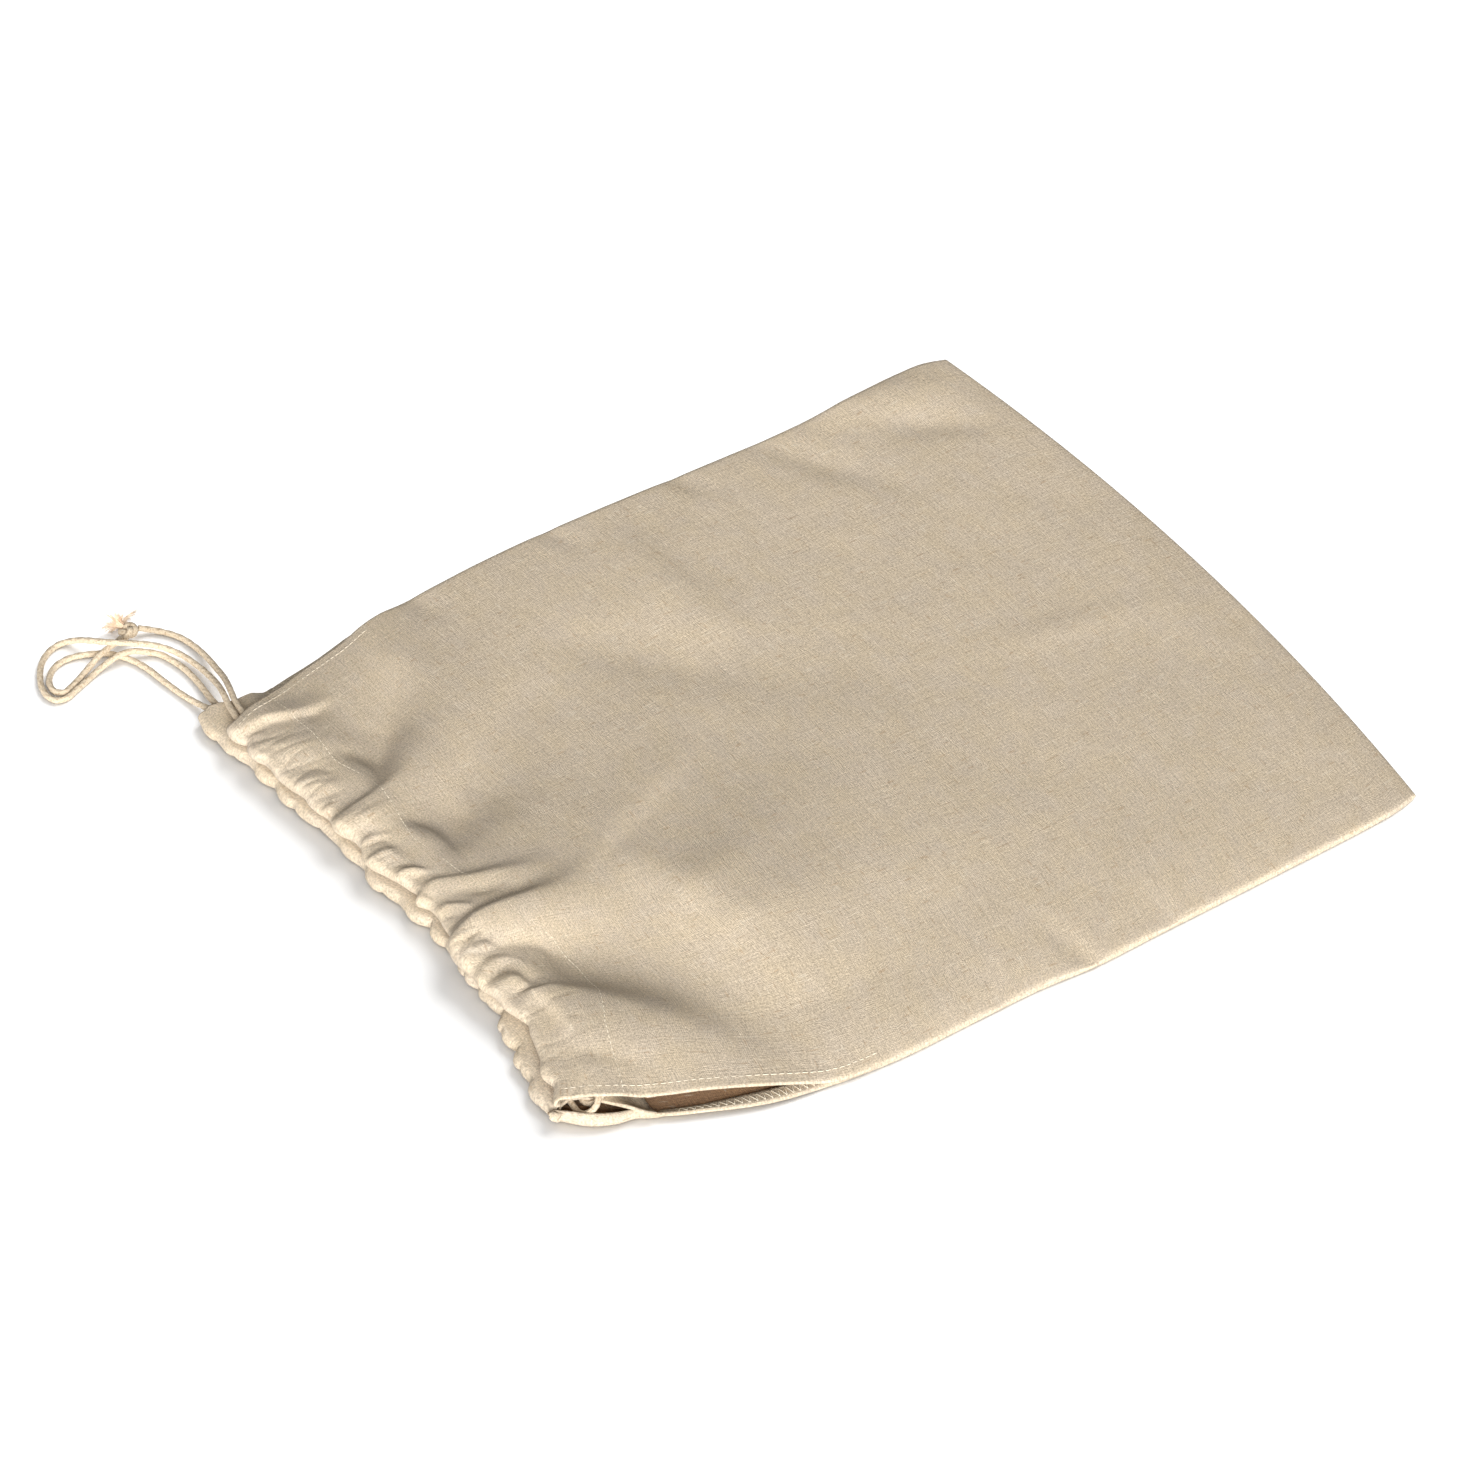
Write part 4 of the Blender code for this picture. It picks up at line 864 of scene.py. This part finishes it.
def linen_material(name, cloth_or_shade_colour):
    """Washed natural linen: uneven threads both ways, thick places in the yarn, and brown and pale flecks."""
    m = Nodes(name)
    place = m.add("ShaderNodeAttribute", attribute_name="cloth").outputs["Vector"]

    def streaks(across, along, seed, detail=1.0):
        """Noise stretched along one thread direction. across and along are sizes in millimetres."""
        scale, shift = (1 / across, 1 / along, 1.0), (seed, seed * 1.7, seed * 0.31)
        return m.noise(m.vector("MULTIPLY_ADD", place, scale, shift), detail)

    tone, threads = 1.0, 0.0
    for across, along, seed, share in THREADS:
        thread = streaks(across, along, seed)
        threads = m.math("ADD", threads, thread)
        tone = m.math("ADD", tone, m.math("MULTIPLY", m.math("SUBTRACT", thread, 0.5), share))
    for size, seed, detail, share in MOTTLING:
        spot = m.math("SUBTRACT", streaks(size, size, seed, detail), 0.5)
        tone = m.math("ADD", tone, m.math("MULTIPLY", spot, share))
    # the linen's own colour, or for the inside face a darker colour that is painted shade
    colour = m.mix(1.0, (*cloth_or_shade_colour, 1), tone, "MULTIPLY")
    tint = m.ramp(streaks(13, 11, 131.0), 0.3, 0.7)
    colour = m.mix(tint, colour, m.mix(1.0, colour, COOL_TINT, "MULTIPLY"))
    for width, length, seeds, (low, high), share, fleck_colour in FLECKS:
        one, other = streaks(width, length, seeds[0], 0.0), streaks(length, width, seeds[1], 0.0)
        flecks = m.math("MAXIMUM", m.ramp(one, low, high), m.ramp(other, low, high))
        colour = m.mix(m.math("MULTIPLY", flecks, share), colour, fleck_colour)
    inputs = {"Vector": m.vector("MULTIPLY", place, (1 / 9, 1 / 9, 1.0)), "Scale": 1.0}
    drift = m.add("ShaderNodeTexNoise", inputs).outputs["Color"]
    wavy = m.vector("MULTIPLY_ADD", drift, (5.0, 5.0, 0.0), place)
    weave = 0.0
    for direction in ("X", "Y"):
        inputs = {"Vector": wavy, "Scale": 0.314 / WEAVE, "Distortion": 0.0}
        wave = m.add("ShaderNodeTexWave", inputs, bands_direction=direction, wave_profile="SIN")
        weave = m.math("ADD", weave, wave.outputs["Fac"])
    height = m.math("ADD", m.math("MULTIPLY", weave, 0.25), m.math("MULTIPLY", threads, 0.5))
    return m.finish(colour, 0.93, height, depth=0.00032, strength=0.7, sheen=0.08)


def braid_material():
    m = Nodes("bag_braid")
    place = m.add("ShaderNodeTexCoord").outputs["Object"]
    fine = m.noise(m.vector("MULTIPLY", place, (1400, 1400, 1400)), 2.0)
    broad = m.noise(m.vector("MULTIPLY", place, (90, 90, 90)), 1.0)
    tone = m.math("ADD", m.math("MULTIPLY", fine, 0.5), m.math("MULTIPLY", broad, 0.16))
    colour = m.mix(1.0, (*BRAID_COLOUR, 1), m.math("ADD", tone, 0.67), "MULTIPLY")
    fleck = m.ramp(m.noise(m.vector("MULTIPLY", place, (1100, 1100, 1500)), 0.0), 0.60, 0.66)
    colour = m.mix(m.math("MULTIPLY", fleck, 0.55), colour, (0.36, 0.25, 0.14, 1))
    return m.finish(colour, 0.9, fine, depth=0.00015, strength=0.6, sheen=0.1)


def fibre_material():
    m = Nodes("bag_fibre")
    place = m.add("ShaderNodeTexCoord").outputs["Object"]
    patch = m.noise(m.vector("MULTIPLY", place, (420, 420, 420)), 1.0)
    centre = m.add("ShaderNodeVectorMath", operation="DISTANCE")
    m.put(centre.inputs[0], place)
    m.put(centre.inputs[1], tuple(MM * c for c in TUFT_CENTRE))
    away = m.ramp(centre.outputs["Value"], 0.0006, 0.0055)
    warm = m.mix(away, (0.62, 0.36, 0.20, 1), (0.86, 0.72, 0.56, 1))
    colour = m.mix(m.ramp(patch, 0.45, 0.6), warm, (0.84, 0.66, 0.48, 1))
    return m.finish(colour, 0.95, sheen=0.1)


def thread_material():
    m = Nodes("bag_thread")
    place = m.add("ShaderNodeTexCoord").outputs["Object"]
    fine = m.noise(m.vector("MULTIPLY", place, (900, 900, 900)), 1.0)
    colour = m.mix(fine, (0.66, 0.57, 0.43, 1), (0.86, 0.78, 0.64, 1))
    return m.finish(colour, 0.7, fine, depth=0.0001, strength=0.4)


# ---- camera, floor and light

def studio():
    camera = bpy.data.objects.new("photo_camera", bpy.data.cameras.new("photo_camera"))
    camera.data.lens = CAMERA_LENS
    camera.data.sensor_width = 36
    camera.data.sensor_fit = "HORIZONTAL"
    camera.data.clip_start = 0.05
    camera.data.clip_end = 20
    camera.location = [MM * c for c in CAMERA_AT]
    camera.rotation_euler = Vector(CAMERA_AIM).to_track_quat("-Z", "Y").to_euler()
    bpy.context.scene.collection.objects.link(camera)
    bpy.context.scene.camera = camera

    white = Nodes("studio_floor").finish((0.93, 0.93, 0.93, 1), 0.9, specular=0.1)
    floor = shown("studio_floor", FLOOR, [(0, 1, 2, 3)], white, rounded=False)

    world = bpy.data.worlds.new("studio")
    bpy.context.scene.world = world
    world.use_nodes = True
    sky = world.node_tree.nodes["Background"]
    sky.inputs["Color"].default_value = (1, 1, 1, 1)
    sky.inputs["Strength"].default_value = SKY
    for name, strength, spread, height, side, lit in SOFTBOXES:
        lamp = bpy.data.objects.new(name, bpy.data.lights.new(name, "SUN"))
        lamp.data.energy = strength
        lamp.data.angle = math.radians(spread)
        up = math.radians(height)
        to_light = Vector((side[0] * math.cos(up), side[1] * math.cos(up), math.sin(up)))
        lamp.rotation_euler = to_light.to_track_quat("Z", "Y").to_euler()
        bpy.context.scene.collection.objects.link(lamp)
        group = bpy.data.collections.new(name + "_group")
        group.objects.link(floor)
        lamp.light_linking.receiver_collection = group
        if lit == "bag":
            group.collection_objects[0].light_linking.link_state = "EXCLUDE"
    bpy.context.scene.view_settings.view_transform = "Standard"


# ---- cords

def free_cords(material):
    pieces = []
    for name, piece_name, route, far_end in (
        ("cord_end_upper", "cord_tail_upper", CORD_END_UPPER, "knot"),
        ("cord_loop", "cord_pulled_loop", CORD_LOOP, "object"),
        ("cord_end_lower", "cord_tail_lower", CORD_END_LOWER, "knot"),
    ):
        route = [(*place, LAID)[:3] for place in route]
        count = round(length_along(route)[-1] / CORD_ROW)
        path = along_curve(route, count)
        piece = shown(piece_name, *tube(path, CORD / 2, 20, braided), material)
        coarse = along_curve(route, CORD_PLACES)
        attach(piece, "root")
        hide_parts(name)
        pieces.append((piece, name, far_end, coarse))
    return pieces


def knot_piece(material):
    """The overhand knot, drawn tight: a cord wound through itself."""
    turns = np.linspace(0, math.tau, 150)
    around = 2.35 + 1.05 * np.cos(3 * turns)
    x, y, z = around * np.cos(2 * turns), 1.15 * around * np.sin(2 * turns), 1.25 * np.sin(3 * turns)
    tilt = np.array(((0.94, 0.20, -0.28), (-0.10, 0.94, 0.33), (0.33, -0.28, 0.90)))
    path = np.stack([x, y, z], 1) @ tilt.T + np.array(KNOT_AT)
    cord_piece = shown("cord_knot_tied", *tube(path, KNOT_CORD, 18, braided), material)
    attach(cord_piece, "root")
    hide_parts("cord_knot")
    return cord_piece


def tuft(material):
    """The frayed cord tips: locks of fibres fanned out from the knot like petals."""
    rng = np.random.default_rng(7)
    parts = []
    for petal in range(PETALS):
        turn = math.tau * (petal + 0.25 * rng.uniform(-1, 1)) / PETALS
        open_out = 0.75 + 0.35 * rng.uniform(-1, 1)
        reach = PETAL_LENGTH * rng.uniform(0.8, 1.12)
        for _ in range(FIBRES):
            a = turn + rng.normal(0, 0.16)
            spread = open_out + rng.normal(0, 0.10)
            length = reach * rng.uniform(0.78, 1.06)
            t = np.linspace(0, 1, 7)
            out = length * (0.30 * t + 0.70 * t**1.6) * spread
            ahead = length * (1.25 * t - 0.62 * t**2)
            wave = 0.22 * np.sin(t * rng.uniform(2, 5) + rng.uniform(0, 6))
            close = 1 - 0.75 * t**2
            x = TUFT_ROOT[0] + rng.normal(0, 0.35) * close + out * math.cos(a) + wave
            y = TUFT_ROOT[1] + ahead
            z = TUFT_ROOT[2] + rng.normal(0, 0.35) * close + out * math.sin(a) * 0.9
            path = np.stack([x, y, np.maximum(z, 0.25)], 1)
            parts.append(tube(path, FIBRE * (1 - 0.6 * t), 4))
    piece = shown("cord_tuft", *joined(parts), material)
    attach(piece, "root")
    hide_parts("cord_fray")
    return piece


# ---- cloth

class Layer:
    """The outer face of one half as a grid that can be read at any u (across) and v (behind the mouth)."""

    def __init__(self, points, u, v):
        self.points, self.normals = points, normals_of(points)
        self.u, self.v = u, v

    def at(self, u, v, lift):
        """A point this far outside the middle of the cloth, and the outward direction there."""
        rows = len(self.v)
        r = np.clip(np.interp(-v, -self.v, np.arange(rows)), 0, rows - 1.001)
        c = np.clip(np.interp(u, self.u, np.arange(len(self.u))), 0, len(self.u) - 1.001)
        i, j = int(r), int(c)
        p, q = r - i, c - j
        corners = ((i, j, (1 - p) * (1 - q)), (i + 1, j, p * (1 - q)), (i, j + 1, (1 - p) * q),
                   (i + 1, j + 1, p * q))
        point = sum(w * self.points[a, b] for a, b, w in corners)
        normal = sum(w * self.normals[a, b] for a, b, w in corners)
        normal = normal / np.linalg.norm(normal)
        return point + normal * lift, normal


def strip_faces(first, second):
    """Faces between two rows of vertex numbers keyed by column, which share some of their columns."""
    shared = sorted(set(first) & set(second))
    faces = []
    for a, b in zip(shared, shared[1:]):
        side = [first[c] for c in range(a, b + 1) if c in first]
        other = [second[c] for c in range(a, b + 1) if c in second]
        faces.append(side + other[::-1])
    return faces


def zip_faces(first, first_at, second, second_at):
    """Triangles between two rows of vertices whose places along the row don't match."""
    faces, i, j = [], 0, 0
    while i < len(first) - 1 or j < len(second) - 1:
        if j == len(second) - 1 or (i < len(first) - 1 and first_at[i + 1] <= second_at[j + 1]):
            faces.append((first[i], first[i + 1], second[j]))
            i += 1
        else:
            faces.append((first[i], second[j + 1], second[j]))
            j += 1
    return faces


def grid(points, u, v, body, skip, vertices, weave):
    """Adds one half's vertices and gives its rows and faces.

    The rows over the body use only every skip-th column between the rims.
    """
    rim = HEM_COLUMNS + RIM_COLUMNS
    total = points.shape[1]
    coarse = sorted({*range(rim), *range(rim, total - rim, skip), *range(total - rim, total)})
    index = []
    for row in range(len(points)):
        used = coarse if row < body else range(total)
        index.append({c: len(vertices) + k for k, c in enumerate(used)})
        vertices += [points[row, c] for c in used]
        weave += [(u[c], v[row], 0.0) for c in used]
    faces = []
    for a, b in zip(index, index[1:]):
        faces += strip_faces(a, b)
    return index, faces


def bag_cloth(material, inside):
    upper = Half(UPPER_LOBES, UPPER_BACK, (), UPPER_MOUTH, UPPER_EDGE)
    lower = Half(LOWER_LOBES, LOWER_BACK, LOWER_PLACES, LOWER_MOUTH, LOWER_EDGE)
    vertices, weave, faces, layers, ends = [], [], [], [], []
    for half, shape, near, skip, side in (
        (upper, upper_points, UPPER_NEAR, UPPER_SKIP, 1), (lower, lower_points, LOWER_NEAR, LOWER_SKIP, -1),
    ):
        points, behind, body = shape(half)
        outer = body + near
        layers.append(Layer(points[:outer], half.share * WIDTH, behind[:outer]))
        v = behind if side > 0 else 2 * LENGTH - behind
        rows, made = grid(with_hems(points, side), hem_share(half), v, body, skip, vertices, weave)
        faces += [face[::side] for face in made]
        end = [rows[0][c] for c in sorted(rows[0]) if HEM_COLUMNS <= c < HEM_COLUMNS + half.count]
        ends.append((end, [vertices[k][1] for k in end]))
    top, bottom = ends
    faces += zip_faces(*bottom, *top)
    piece = shown("bag_cloth", vertices, faces, material)
    place = piece.data.attributes.new("cloth", "FLOAT_VECTOR", "POINT")
    place.data.foreach_set("vector", np.array(weave, np.float32).ravel())
    thick = piece.modifiers.new("cloth thickness", "SOLIDIFY")
    thick.thickness = LINEN * MM
    thick.offset = 0
    # the solid's other face, inside the bag, takes the darker copy of the linen as painted shade
    piece.data.materials.append(inside)
    thick.material_offset = 1
    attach(piece, "root")
    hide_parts("front_panel", "back_panel")
    return piece, layers


# ---- stitching

def stitch(start, end, up_a, up_b):
    """One thread stitch lying between two points of the cloth, its ends going down into it."""
    mid = (start + end) / 2
    up = (up_a + up_b) / 2
    path = [start - up_a * 0.30, start + (end - start) * 0.12, mid + up * 0.06,
            start + (end - start) * 0.88, end - up_b * 0.30]
    return tube(path, [THREAD * share for share in (0.8, 1, 1.05, 1, 0.8)], 6)


def running(layer, route, lift, rng):
    """Straight stitches along a route of (u, v) on a layer."""
    route = np.array(route, float)
    run = length_along(route)
    parts = []
    for s in np.arange(0.4, run[-1] - STITCH, STITCH):
        s = s + rng.uniform(-0.12, 0.12)
        u, v = (np.interp(s, run, route[:, k]) for k in (0, 1))
        sunk = STITCH_SINK * (0.5 + noise.noise(Vector((u / 14, v / 14, 4.2))))
        ends = []
        for t in (s, s + STITCH * rng.uniform(0.74, 0.84)):
            u, v = (np.interp(t, run, route[:, k]) for k in (0, 1))
            ends.append(layer.at(u + rng.uniform(-0.08, 0.08), v, lift - sunk))
        (a, up_a), (b, up_b) = ends
        parts.append(stitch(a, b, up_a, up_b))
    return parts


def overlock(layer, u_out, u_in, v_from, v_to, lift, rng):
    """Zigzag over a raw edge: thread going to and fro between two lines."""
    parts = []
    for v in np.arange(v_from, v_to, OVERLOCK_PITCH):
        a, up_a = layer.at(u_out, v, lift)
        b, up_b = layer.at(u_in, v + OVERLOCK_PITCH * rng.uniform(0.85, 1.15), lift)
        parts.append(stitch(a, b, up_a, up_b))
        u_out, u_in = u_in, u_out
    return parts


def stitching(up_layer, low_layer, material):
    rng = np.random.default_rng(3)
    top = LINEN / 2 + THREAD * 0.45
    parts = []
    for u, v in zip((VENT_LINE, WIDTH - VENT_LINE), VENT_STITCHES):
        parts += running(up_layer, [(u, v), (u, 2)], top, rng)
    line = [(u, straight(STITCH_LINE, 1, u)) for u in np.arange(0.8, WIDTH, 3.0)]
    parts += running(up_layer, line, top - 0.12, rng)
    piece = shown("hem_stitching", *joined(parts), material)
    inside = HEM_DROP + LINEN / 2 + 0.12
    u_out, u_in = OVERLOCK_LINES
    parts = overlock(low_layer, u_out, u_in, *OVERLOCK_SPANS[0], inside, rng)
    parts += overlock(low_layer, WIDTH - u_out, WIDTH - u_in, *OVERLOCK_SPANS[1], inside, rng)
    over = shown("edge_overlock", *joined(parts), material)
    for thing in (piece, over):
        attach(thing, "root")
    return piece, over


# ---- the whole bag

def dress():
    studio()
    braid = braid_material()
    cords = free_cords(braid)
    knot = knot_piece(braid)
    fibres = tuft(fibre_material())
    linen = linen_material("bag_linen", LINEN_COLOUR)
    # a darker copy of the linen: painted shade for the cloth's inside face
    inside = linen_material("bag_linen_painted_shade", PAINTED_SHADE_COLOUR)
    cloth, layers = bag_cloth(linen, inside)
    seams = stitching(*layers, thread_material())
    for name in ("cord_round_outer", "cord_round_inner"):
        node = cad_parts[name]
        for k in range(len(node.material_slots)):
            node.material_slots[k].material = braid


dress()
